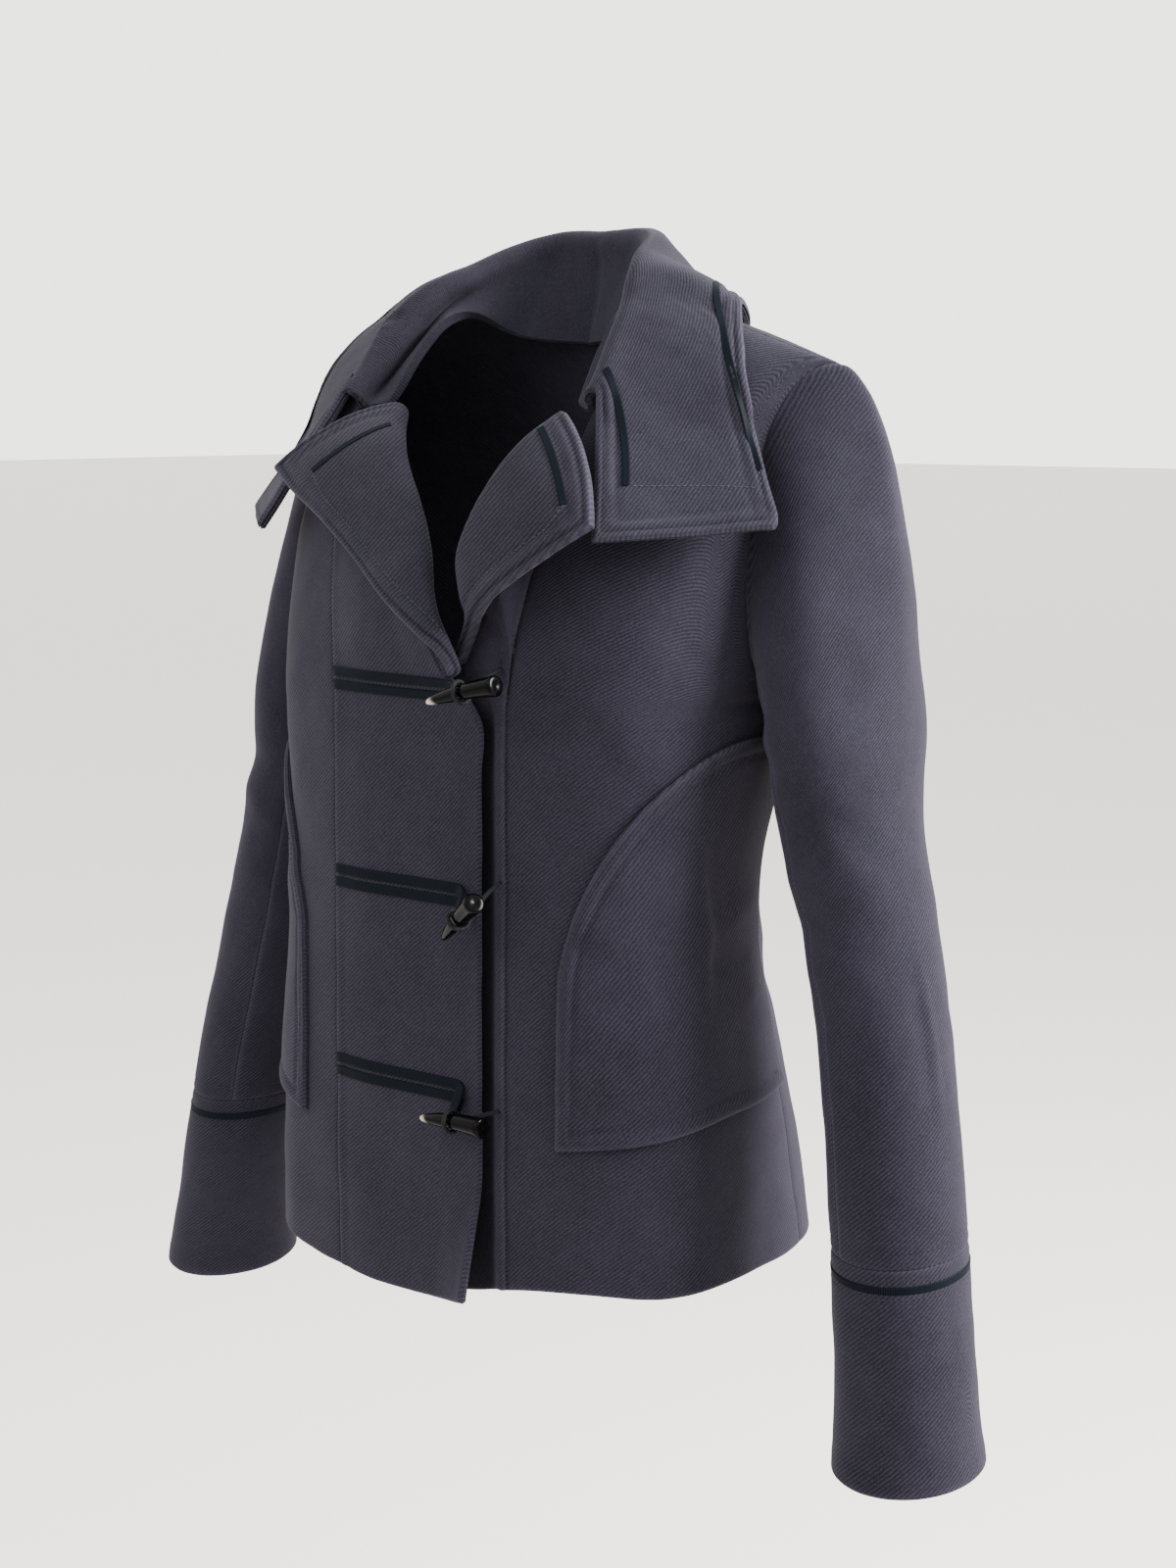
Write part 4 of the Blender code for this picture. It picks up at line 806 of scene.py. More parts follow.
def soft(points):
    """The cloth's slight unevenness: a few long soft waves across each other."""
    x, y, z = points[..., 0], points[..., 1], points[..., 2]
    wave = np.sin(61 * x + 23 * z + 1.1) * np.cos(47 * z - 31 * y)
    wave += np.sin(97 * z + 71 * y + 0.4) * np.cos(83 * x)
    fine = np.sin(211 * x + 167 * y + 0.7) * np.sin(189 * z - 143 * x + 2.0)
    return 0.28 * MM * wave + 0.10 * MM * fine


def path_distance(points, path):
    """How far each point is from a line of points, and its place along that line as a share."""
    best = np.full(len(points), 1e9)
    place = np.zeros(len(points))
    for k in range(len(path) - 1):
        way = path[k + 1] - path[k]
        t = np.clip((points - path[k]) @ way / (way @ way), 0, 1)
        gap = np.linalg.norm(points - path[k] - t[:, None] * way, axis=1)
        closer = gap < best
        best[closer] = gap[closer]
        place[closer] = (k + t[closer]) / (len(path) - 1)
    return best, place


def creased(points, creases, place_at):
    """The height of all creases at each point of a grid."""
    flat = points.reshape(-1, 3)
    height = np.zeros(len(flat))
    for keys, width, size in creases:
        width, size = width * MM, size * MM
        steps = np.linspace(0, len(keys) - 1, 6 * len(keys))
        path = np.array([place_at(*smooth_at(np.arange(len(keys)), keys, t)) for t in steps])
        low, high = path.min(0) - 3 * width, path.max(0) + 3 * width
        near = np.flatnonzero(np.all((flat > low) & (flat < high), axis=1))
        if len(near):
            gap, place = path_distance(flat[near], path)
            fade = np.sin(np.pi * np.clip(place, 0, 1)) ** 0.8
            if keys[0][1] == 0.0:
                fade = np.cos(np.pi / 2 * np.clip(place, 0, 1)) ** 0.8
            height[near] += size * np.exp(-(gap / width) ** 2) * fade
    return height.reshape(points.shape[:2])


def cubic_at(grid, places, closed):
    """Smooth values between the rows of a grid, at places[k, column] counted in rows."""
    before, after = 2 * grid[:1] - grid[1:2], 2 * grid[-1:] - grid[-2:-1]
    if closed:
        before, after = grid[-2:-1].copy(), grid[1:2].copy()
        before[..., 3] -= 1.0
        after[..., 3] += 1.0
    padded = np.concatenate([before, grid, after])
    first = np.clip(np.floor(places).astype(int), 0, len(grid) - 2)
    t = (places - first)[..., None]
    weights = ((-t + 2 * t**2 - t**3) / 2, (2 - 5 * t**2 + 3 * t**3) / 2, (t + 4 * t**2 - 3 * t**3) / 2,
               (t**3 - t**2) / 2)
    columns = np.arange(grid.shape[1])[None, :]
    return sum(weight * padded[first + k, columns] for k, weight in enumerate(weights))


def even_rows(grid, spacing, closed=False):
    """The grid with its rows at even lengths, closer beside both ends, and each point's distance from both."""
    steps = np.linalg.norm(np.diff(grid[..., :3], axis=0), axis=-1)
    run = np.concatenate([np.zeros((1, grid.shape[1])), np.cumsum(steps, axis=0)])
    total = run[-1]
    middle = max(int(np.max(total) / spacing), 4)
    targets = []
    for length in total:
        if closed:
            targets.append(np.linspace(0, length, middle + 1))
            continue
        ends = EDGE_STEPS * min(1.0, length / (3 * EDGE_STEPS[-1]))
        inside = np.linspace(ends[-1], length - ends[-1], middle + 1)[1:-1]
        targets.append(np.concatenate([ends, inside, length - ends[::-1]]))
    targets = np.array(targets).T
    rows = np.arange(len(grid))
    places = np.array([np.interp(targets[:, c], run[:, c], rows) for c in range(len(total))]).T
    return cubic_at(grid, places, closed), targets, total - targets


class Grid:
    """A surface sampled for a shell: points, normals, parameters and the distance from each edge."""

    def __init__(self, surface, us, vs, facing=1.0, closed=False, spacing=SPACING):
        coarse = np.array([[(*surface(u, v), u, v) for u in us] for v in vs])
        rows, below, above = even_rows(coarse, spacing)
        rows = np.concatenate([rows, below[..., None], above[..., None]], axis=-1).transpose(1, 0, 2)
        full, left, right = even_rows(rows, spacing, closed)
        full = full.transpose(1, 0, 2)
        self.left, self.right = left.T, right.T
        self.closed = closed
        if closed:
            full, self.left, self.right = full[:, :-1], self.left[:, :-1], self.right[:, :-1]
        self.point = full[..., :3]
        self.u, self.v, self.below, self.above = (full[..., k] for k in (3, 4, 5, 6))
        self.facing = facing
        self.normal = self.normals(self.point)

    def normals(self, points):
        if self.closed:
            across = np.roll(points, -1, axis=1) - np.roll(points, 1, axis=1)
        else:
            across = np.gradient(points, axis=1)
        normal = np.cross(across, np.gradient(points, axis=0)) * self.facing
        return normal / np.maximum(np.linalg.norm(normal, axis=-1, keepdims=True), 1e-12)

    def sizes(self):
        """The flat cut's width, length and area."""
        points = self.point
        if self.closed:
            points = np.concatenate([points, points[:, :1]], axis=1)
        across, up = np.diff(points, axis=1), np.diff(points, axis=0)
        area = np.linalg.norm(np.cross(across[:-1], up[:, :-1]), axis=-1).sum()
        width = np.linalg.norm(across, axis=-1).sum(1).max()
        length = np.linalg.norm(up, axis=-1).sum(0).max()
        return float(width), float(length), float(area)


def rounding(distance, radius):
    share = 1 - np.clip(distance / radius, 0, 1)
    return radius * (1 - np.sqrt(np.maximum(1 - share ** 2, 0)))


def finish_mesh(name, points, faces, material, nodes, uv=None, tone=None, period=0.0):
    """A finished piece of the scene. Tone is a value for each point; period is the length round a closed cuff,
    after which its grain starts again."""
    mesh = bpy.data.meshes.new(name)
    mesh.from_pydata(points.tolist(), [], faces)
    mesh.shade_smooth()
    if uv is not None:
        corner = np.empty(len(mesh.loops), dtype=np.int32)
        mesh.loops.foreach_get("vertex_index", corner)
        at = uv[corner]
        if period:
            at = at.reshape(-1, 4, 2)
            across = at[..., 0]
            reach = np.abs(across).max(1, keepdims=True) - np.abs(across)
            at[..., 0] += np.where(reach > period / 2, period, 0.0) * np.sign(across.sum(1, keepdims=True))
        mesh.uv_layers.new(name="cloth").data.foreach_set("uv", at.astype(np.float32).ravel())
    values = np.zeros(len(points)) if tone is None else tone
    layer = mesh.attributes.new("tone", "FLOAT", "POINT")
    layer.data.foreach_set("value", values.astype(np.float32))
    piece = bpy.data.objects.new(name, mesh)
    piece.data.materials.append(material)
    bpy.context.scene.collection.objects.link(piece)
    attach(piece, "root")
    if nodes:
        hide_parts(*nodes)
    return piece


def shell(name, grid, thickness, height, material, edges, tone, lift=None, grain=None):
    """A closed cloth shell on a grid. Edges gives how each side ends: left, right, below, above. Lift raises
    the whole wall; height shapes its outside alone."""
    left, right, below, above = edges
    drop = np.zeros(grid.u.shape)
    for kind, distance in ((left, grid.left), (right, grid.right), (below, grid.below), (above, grid.above)):
        if kind is not None:
            drop = np.maximum(drop, rounding(distance, kind[0]))
    base = grid.point + grid.normal * (0.0 if lift is None else lift[..., None])
    normal = grid.normals(base)
    outer = base + normal * (height - drop)[..., None]
    inner = base - normal * (thickness - drop)[..., None]
    if grid.facing < 0:
        outer, inner = outer[:, ::-1], inner[:, ::-1]
        left, right = right, left
    rows, columns = outer.shape[:2]
    count = rows * columns
    index = np.arange(count).reshape(rows, columns)
    wrap = np.concatenate([index, index[:, :1]], axis=1) if grid.closed else index
    quads = np.stack([wrap[:-1, :-1], wrap[:-1, 1:], wrap[1:, 1:], wrap[1:, :-1]], axis=-1).reshape(-1, 4)
    faces = [quads, quads[:, ::-1] + count]
    points = [outer.reshape(-1, 3), inner.reshape(-1, 3)]
    source = [np.arange(count), np.arange(count)]
    if grid.closed:
        rings = [([(0, c) for c in range(columns)], True),
                 ([(rows - 1, c) for c in range(columns)][::-1], True)]
    else:
        ring = [(0, c) for c in range(columns)] + [(r, columns - 1) for r in range(1, rows)]
        ring += [(rows - 1, c) for c in range(columns - 2, -1, -1)] + [(r, 0) for r in range(rows - 2, 0, -1)]
        rings = [(ring, False)]
    start = 2 * count
    for ring, tube in rings:
        size = len(ring)
        r, c = np.array(ring).T
        out = np.zeros((size, 3))
        bulge, groove = np.zeros(size), np.zeros(size)
        sides = [(below, r == 0, (1, 0)), (above, r == rows - 1, (-1, 0))]
        if not tube:
            sides += [(left, c == 0, (0, 1)), (right, c == columns - 1, (0, -1))]
        for kind, here, (dr, dc) in sides:
            at = np.flatnonzero(here)
            middle = (outer[r[at], c[at]] + inner[r[at], c[at]]) / 2
            behind = r[at] + 4 * dr, c[at] + 4 * dc
            away = middle - (outer[behind] + inner[behind]) / 2
            out[at] += away / np.maximum(np.linalg.norm(away, axis=1, keepdims=True), 1e-9)
            bulge[at] = np.maximum(bulge[at], kind[1] if kind else 0.0)
            groove[at] = np.maximum(groove[at], kind[2] if kind else 0.0)
        out /= np.maximum(np.linalg.norm(out, axis=1, keepdims=True), 1e-9)
        high, low = outer[r, c], inner[r, c]
        lines = [r * columns + c]
        for k in range(1, RIM_ROWS + 1):
            share = k / (RIM_ROWS + 1)
            layered = np.abs(np.sin(2 * np.pi * share)) * bulge
            layered -= groove * np.exp(-((share - 0.5) / 0.13) ** 2)
            swell = np.where(groove > 0, layered, bulge * np.sin(np.pi * share))
            points.append(high + (low - high) * share + out * swell[:, None])
            source.append(r * columns + c)
            lines.append(start + np.arange(size))
            start += size
        lines.append(r * columns + c + count)
        for one, two in zip(lines, lines[1:]):
            faces.append(np.stack([np.roll(one, -1), one, two, np.roll(two, -1)], axis=-1))
    source = np.concatenate(source)
    flip = slice(None, None, -1) if grid.facing < 0 else slice(None)
    if grain is None:
        grain = (grid.left * grid.facing, grid.below)
    uv = np.stack([grain[0][:, flip].ravel(), grain[1][:, flip].ravel()], axis=-1)[source]
    tones = tone[:, flip].ravel()[source]
    period = float(np.mean(grid.left[:, -1])) if grid.closed else 0.0
    return finish_mesh(name + "_cloth", np.concatenate(points), np.concatenate(faces).tolist(), material,
                       [name], uv, tones, period)


def declare(piece, grid, held, with_pieces=()):
    width, length, area = grid.sizes()
    list(with_pieces)


def surface_of(piece):
    """A search tree of a finished piece, for laying stitches and tape on it."""
    mesh = piece.data
    points = np.empty(len(mesh.vertices) * 3)
    mesh.vertices.foreach_get("co", points)
    faces = [tuple(face.vertices) for face in mesh.polygons]
    return BVHTree.FromPolygons([tuple(p) for p in points.reshape(-1, 3)], faces)


def rest_on(tree, points, facing):
    """The nearest places of a piece's outside to a line of points, and the way up from it."""
    places, ways = [], []
    for point, way in zip(points, facing):
        start = Vector(point + way * 8 * MM)
        hit, normal, _, _ = tree.ray_cast(start, -Vector(way), 30 * MM)
        if hit is None:
            hit, normal, _, _ = tree.find_nearest(Vector(point))
        normal = np.array(normal)
        places.append(np.array(hit))
        ways.append(normal if normal @ way > 0 else -normal)
    return np.array(places), np.array(ways)


def smooth_line(points, passes=3, closed=False):
    points = points.copy()
    for _ in range(passes):
        if closed:
            points = (np.roll(points, 1, axis=0) + 2 * points + np.roll(points, -1, axis=0)) / 4
        else:
            points[1:-1] = (points[:-2] + 2 * points[1:-1] + points[2:]) / 4
    return points


def host_line(host, path, steps, facing=1.0):
    """Points and normals of host(u, v) along path(t)."""
    points, ways = [], []
    for t in np.linspace(0, 1, steps):
        u, v = path(t)
        points.append(host(u, v))
        ways.append(normal_of(host, u, v) * facing)
    return np.array(points), np.array(ways)


def even_line(points, ways, step, closed=False):
    """A line's points and normals at even steps."""
    if closed:
        points, ways = np.concatenate([points, points[:1]]), np.concatenate([ways, ways[:1]])
    run = np.concatenate([[0], np.cumsum(np.linalg.norm(np.diff(points, axis=0), axis=1))])
    at = np.linspace(0, run[-1], max(int(round(run[-1] / step)), 2) + 1)
    even = np.stack([np.interp(at, run, points[:, k]) for k in range(3)], axis=-1)
    up = np.stack([np.interp(at, run, ways[:, k]) for k in range(3)], axis=-1)
    if closed:
        even, up = even[:-1], up[:-1]
    return even, up / np.linalg.norm(up, axis=1, keepdims=True)


STITCH = 2.6 * MM               # length of one stitch
STITCH_GAP = 0.7 * MM
THREAD = 0.22 * MM              # its radius
# Along a stitch: share of its length, share of its radius, and height in millimetres
STITCH_RINGS = ((0, 0.35, -0.28), (0.18, 0.9, 0.12), (0.5, 1.0, 0.22), (0.82, 0.9, 0.12), (1, 0.35, -0.28))
STITCH_SIDES = 5


def stitches(name, lines, material):
    """Rows of sewn stitches: each a short thread, thin where it goes into the cloth."""
    points, faces, uvs = [], [], []
    sides = STITCH_SIDES
    for line, ways, closed in lines:
        places, ups = even_line(line, ways, STITCH + STITCH_GAP, closed)
        ahead = np.roll(places, -1, axis=0) if closed else places[1:]
        for k, goal in enumerate(ahead):
            way = unit(goal - places[k])
            up = ups[k]
            side = unit(np.cross(way, up))
            slant = side * 0.25 * MM
            first = len(points)
            for j, (share, girth, rise) in enumerate(STITCH_RINGS):
                centre = places[k] + way * STITCH * share + up * rise * MM + slant * (share - 0.5)
                for i in range(sides):
                    angle = 2 * math.pi * i / sides
                    points.append(centre + THREAD * girth * (math.cos(angle) * side + math.sin(angle) * up))
                    uvs.append((share, i / sides))
                if j:
                    row = first + (j - 1) * sides
                    for i in range(sides):
                        a, b = row + i, row + (i + 1) % sides
                        faces.append((a, b, b + sides, a + sides))
            faces.append(tuple(first + i for i in range(sides - 1, -1, -1)))
            faces.append(tuple(len(points) - sides + i for i in range(sides)))
    return finish_mesh(name, np.array(points), faces, material, [], np.array(uvs))


# A tape's upper side, edge to edge: place across as a share of its width, and height as a share of its thickness
TAPE_PROFILE = ((-0.5, 0.0), (-0.49, 0.55), (-0.44, 0.9), (-0.36, 1.0), (-0.12, 0.94), (0.0, 0.9),
                (0.12, 0.94), (0.36, 1.0), (0.44, 0.9), (0.49, 0.55), (0.5, 0.0))
RIBBON_RISE = 0.7 * MM          # thickness of a ribbon that shows above the cloth
RIB_HEIGHT = 0.07 * MM
TAPE_DEPTH = 0.35 * MM          # how far a tape's underside goes into the cloth
RIB = 1.3 * MM                  # from one cross rib of the ribbon to the next


def ring_faces(rings, closed=False):
    """Faces of a skin over rings of points. A closed one joins its last ring to its first; the ends of another
    are each closed by one face."""
    index = np.arange(rings.shape[0] * rings.shape[1]).reshape(rings.shape[:2])
    if closed:
        index = np.concatenate([index, index[:1]])
    after = np.roll(index, -1, axis=1)
    faces = np.stack([index[:-1], after[:-1], after[1:], index[1:]], axis=-1).reshape(-1, 4).tolist()
    return faces if closed else faces + [index[0][::-1].tolist(), index[-1].tolist()]


def line_frame(line):
    """Unit ways along a line of points, and the length run up to each."""
    way = np.gradient(line, axis=0)
    run = np.concatenate([[0], np.cumsum(np.linalg.norm(np.diff(line, axis=0), axis=1))])
    return way / np.linalg.norm(way, axis=1, keepdims=True), run


def ribbon_piece(name, replaced, line, ways, width=RIBBON_WIDTH, thickness=RIBBON_RISE, lift=0.0, closed=False):
    """A woven tape along a line of points, its edges rounded and its ribs raised, set on the cloth."""
    line, ways = even_line(line, ways, RIB / 3, closed)
    way, run = line_frame(line)
    if closed:
        way = np.roll(line, -1, axis=0) - np.roll(line, 1, axis=0)
        way /= np.linalg.norm(way, axis=1, keepdims=True)
    across = np.cross(way, ways)
    across /= np.linalg.norm(across, axis=1, keepdims=True)
    up = np.cross(across, way)
    up *= np.sign((up * ways).sum(1, keepdims=True))
    rib = RIB_HEIGHT * np.cos(2 * np.pi * run / RIB)
    places = [(share, share, lift + thickness * rise + (rib if rise > 0 else 0.0)) for share, rise in TAPE_PROFILE]
    places += [(share * 0.96, share, lift - TAPE_DEPTH) for share in (0.5, 0.0, -0.5)]
    points, uv = [], []
    for aside, share, high in places:
        points.append(line + across * (width * aside) + up * np.broadcast_to(high, run.shape)[:, None])
        uv.append(np.stack([run, np.full(len(run), share * width)], axis=-1))
    rings = np.stack(points, axis=1)
    return finish_mesh(name, rings.reshape(-1, 3), ring_faces(rings, closed), RIBBON, [replaced],
                       np.stack(uv, axis=1).reshape(-1, 2))


def node(tree, kind, **values):
    """A shader node with its settings: attributes by name, input values by name or number after in_."""
    made = tree.nodes.new(kind)
    for key, value in values.items():
        if key.startswith("in_"):
            slot_key = key[3:].replace("_", " ")
            made.inputs[int(slot_key) if slot_key.isdigit() else slot_key].default_value = value
        else:
            setattr(made, key, value)
    return made


def math_node(tree, operation, *values):
    made = node(tree, "ShaderNodeMath", operation=operation)
    for k, value in enumerate(values):
        if isinstance(value, (int, float)):
            made.inputs[k].default_value = value
        else:
            tree.links.new(value, made.inputs[k])
    return made.outputs[0]


def new_material(name, color, roughness, **more):
    material = bpy.data.materials.new(name)
    material.use_nodes = True
    shader = material.node_tree.nodes["Principled BSDF"]
    shader.inputs["Base Color"].default_value = (*color, 1.0)
    shader.inputs["Roughness"].default_value = roughness
    for key, value in more.items():
        shader.inputs[key.replace("_", " ")].default_value = value
    return material, material.node_tree, shader


def ramp_between(tree, amount, dark, light, low=0.0, high=1.0):
    """A colour from dark to light, by an amount from low to high."""
    ramp = node(tree, "ShaderNodeValToRGB")
    for end, color, position in zip(ramp.color_ramp.elements, (dark, light), (low, high)):
        end.color = (*color, 1.0)
        end.position = position
    tree.links.new(amount, ramp.inputs["Fac"])
    return ramp.outputs["Color"]


def set_bump(tree, shader, height, strength, distance):
    bump = node(tree, "ShaderNodeBump", in_Strength=strength, in_Distance=distance)
    tree.links.new(height, bump.inputs["Height"])
    tree.links.new(bump.outputs["Normal"], shader.inputs["Normal"])


def noise(tree, scale, **more):
    """Noise laid through the object's own space."""
    made = node(tree, "ShaderNodeTexNoise", in_Scale=scale, **more)
    tree.links.new(node(tree, "ShaderNodeTexCoord").outputs["Object"], made.inputs["Vector"])
    return made.outputs["Fac"]


TWILL_PITCH = 2.0 * MM
# Share of each pattern in the wool's tone; BASE_TONE is then taken off
RIDGE_TONE, FUZZ_TONE, YARN_TONE, DRIFT_TONE, PATCH_TONE, BASE_TONE = 0.58, 0.90, 0.45, 0.40, 0.22, 0.82
WAVE_PERIOD = math.pi / 10      # of the wave texture at a scale of 1


def wool_material(name, dark, light, angle):
    """Melton twill: diagonal ridges under a felted nap, tone that drifts a little, lighter worn edges, and painted
    shade where the tone attribute falls below zero.
    """
    material, tree, shader = new_material(name, dark, 0.86, Sheen_Weight=0.055, Sheen_Roughness=0.45,
                                          Sheen_Tint=(0.66, 0.64, 0.78, 1.0), Specular_IOR_Level=0.04)
    links = tree.links
    where = node(tree, "ShaderNodeTexCoord")
    turned = node(tree, "ShaderNodeMapping", in_Rotation=(0, 0, math.radians(angle)))
    links.new(where.outputs["UV"], turned.inputs["Vector"])
    twill = node(tree, "ShaderNodeTexWave", in_Scale=WAVE_PERIOD / TWILL_PITCH, in_Distortion=1.6,
                 in_Detail=2.0, in_Detail_Scale=1.6)
    links.new(turned.outputs[0], twill.inputs["Vector"])
    yarn = noise(tree, 760.0, in_Detail=3.0, in_Roughness=0.6)
    fuzz = noise(tree, 2300.0, in_Detail=2.0, in_Roughness=0.7)
    drift = noise(tree, 9.0, in_Detail=3.0, in_Roughness=0.55)
    patch = noise(tree, 70.0, in_Detail=3.0, in_Roughness=0.6)
    # the tone attribute: above zero lighter worn edges, below zero painted shade beside seams, in leaf grooves and
    # under the right front's edge
    wear_and_shade = node(tree, "ShaderNodeAttribute", attribute_name="tone")
    ridge = math_node(tree, "MULTIPLY", twill.outputs["Fac"], math_node(tree, "ADD", yarn, 0.25))
    amount = math_node(tree, "MULTIPLY", ridge, RIDGE_TONE)
    for pattern, share in ((fuzz, FUZZ_TONE), (yarn, YARN_TONE), (drift, DRIFT_TONE), (patch, PATCH_TONE)):
        amount = math_node(tree, "ADD", amount, math_node(tree, "MULTIPLY", pattern, share))
    amount = math_node(tree, "SUBTRACT", amount, BASE_TONE)
    uneven = math_node(tree, "MULTIPLY", wear_and_shade.outputs["Fac"], math_node(tree, "ADD", patch, 0.5))
    amount = math_node(tree, "ADD", amount, uneven)
    links.new(ramp_between(tree, amount, dark, light), shader.inputs["Base Color"])
    relief = math_node(tree, "ADD", ridge, math_node(tree, "MULTIPLY", fuzz, 0.55))
    set_bump(tree, shader, relief, 0.60, 0.35 * MM)
    return material


def ribbon_material():
    """Grosgrain: fine cross ribs with a dull sheen and slightly paler crowns."""
    material, tree, shader = new_material("ribbon_grosgrain", (0.004, 0.008, 0.012), 0.60, Sheen_Weight=0.010,
                                          Sheen_Roughness=0.35, Sheen_Tint=(0.35, 0.50, 0.60, 1.0),
                                          Specular_IOR_Level=0.03)
    links = tree.links
    where = node(tree, "ShaderNodeTexCoord")
    rib = node(tree, "ShaderNodeTexWave", in_Scale=WAVE_PERIOD / RIB, in_Distortion=0.3, in_Detail=1.0)
    links.new(where.outputs["UV"], rib.inputs["Vector"])
    yarn = noise(tree, 1500.0, in_Detail=3.0)
    amount = math_node(tree, "MULTIPLY", rib.outputs["Fac"], math_node(tree, "ADD", yarn, 0.3))
    color = ramp_between(tree, amount, (0.0005, 0.0010, 0.0018), (0.0022, 0.0040, 0.0068))
    links.new(color, shader.inputs["Base Color"])
    set_bump(tree, shader, amount, 0.5, 0.2 * MM)
    return material


def horn_material():
    """Polished black horn, streaked along its length, pale where the point wears through."""
    material, tree, shader = new_material("horn_polished", (0.004, 0.004, 0.005), 0.24, Coat_Weight=0.008,
                                          Coat_Roughness=0.10, Specular_IOR_Level=0.30, IOR=1.14)
    links = tree.links
    where = node(tree, "ShaderNodeTexCoord")
    stretched = node(tree, "ShaderNodeMapping", in_Scale=(60, 420, 420))
    links.new(where.outputs["Object"], stretched.inputs["Vector"])
    streak = node(tree, "ShaderNodeTexNoise", in_Scale=1.0, in_Detail=4.0, in_Roughness=0.6)
    links.new(stretched.outputs[0], streak.inputs["Vector"])
    pale = node(tree, "ShaderNodeAttribute", attribute_name="tone")
    black = ramp_between(tree, streak.outputs["Fac"], (0.0003, 0.0003, 0.0005), (0.0014, 0.0014, 0.0018), 0.35,
                         0.75)
    mixed = node(tree, "ShaderNodeMixRGB")
    mixed.inputs[2].default_value = (0.46, 0.39, 0.32, 1.0)
    grain = math_node(tree, "ADD", streak.outputs["Fac"], 0.45)
    share = math_node(tree, "MULTIPLY", pale.outputs["Fac"], grain)
    links.new(share, mixed.inputs[0])
    links.new(black, mixed.inputs[1])
    links.new(mixed.outputs[0], shader.inputs["Base Color"])
    rough = node(tree, "ShaderNodeMapRange", in_To_Min=0.10, in_To_Max=0.22)
    links.new(streak.outputs["Fac"], rough.inputs["Value"])
    links.new(rough.outputs[0], shader.inputs["Roughness"])
    return material


def thread_material(name, dark, light):
    """Twisted thread or cord: fine diagonal strands."""
    material, tree, shader = new_material(name, dark, 0.72, Specular_IOR_Level=0.10)
    strand = noise(tree, 1900.0, in_Detail=2.0)
    tree.links.new(ramp_between(tree, strand, dark, light, 0.3, 0.7), shader.inputs["Base Color"])
    set_bump(tree, shader, strand, 0.4, 0.15 * MM)
    return material


WOOL = wool_material("wool_twill", (0.0030, 0.0027, 0.0048), (0.0210, 0.0192, 0.0290), 52)
FACING = wool_material("wool_facing_twill", (0.0031, 0.0029, 0.0050), (0.0215, 0.0200, 0.0290), 42)
RIBBON = ribbon_material()
HORN = horn_material()
CORD = thread_material("waxed_cord", (0.0007, 0.0009, 0.0014), (0.0032, 0.0040, 0.0054))
PALE_THREAD = thread_material("pale_thread", (0.014, 0.015, 0.020), (0.044, 0.047, 0.058))
DARK_THREAD = thread_material("dark_thread", (0.004, 0.004, 0.006), (0.018, 0.018, 0.024))

SEAM_WEAR = 0.26                # how much lighter the wool is along its worn edges

SEAM_HOLLOW = 2.4 * MM          # width of the hollow beside a seam of the body
SLEEVE_HOLLOW = 2.2 * MM        # the same on a sleeve
HEM_STEP = 0.35 * MM            # how far the turned hem stands out
HEM_STEP_SPAN = (27 * MM, 31 * MM)  # where that ends, above the hem
CUFF_STEP = 0.5 * MM            # the same at a cuff
CUFF_STEP_SPAN = (8 * MM, 14 * MM)
CUFF_STITCH = 0.038             # from a cuff's ribbon down to its stitching, as a share of the cuff


def near(distance, width):
    """1 where a distance is nothing, falling off smoothly within a width."""
    return np.exp(-(distance / width) ** 2)


def smooth_ramp(value, low, high):
    t = np.clip((value - low) / (high - low), 0, 1)
    return t * t * (3 - 2 * t)


def hem_step(grid, step=HEM_STEP, span=HEM_STEP_SPAN):
    """The turning of a hem or cuff, which shows as a slight step."""
    return step * (1 - smooth_ramp(grid.below, *span))


def body_height(points):
    """The creases and unevenness of the body."""
    return soft(points) + creased(points, BODY_CREASES, body_point)


def sleeve_height(side, points):
    """The creases and unevenness of a sleeve."""
    def place_at(around, along):
        return worn_sleeve_point(side, around, along)
    return soft(points) + creased(points, SLEEVE_CREASES, place_at)


SWING = 13 * MM                 # how far the right front's lower corner swings out, and how far down
SWING_DROP = 4 * MM
SWING_SPAN = (0.500, 0.660)     # below the neck, where that swing begins and ends
TUCK = 5 * MM                   # how far the left band dips in under the right front's edge
TUCK_SPAN = (0.225, 0.250)      # below the neck, where that dip and the painted shadow under the right front's edge begin
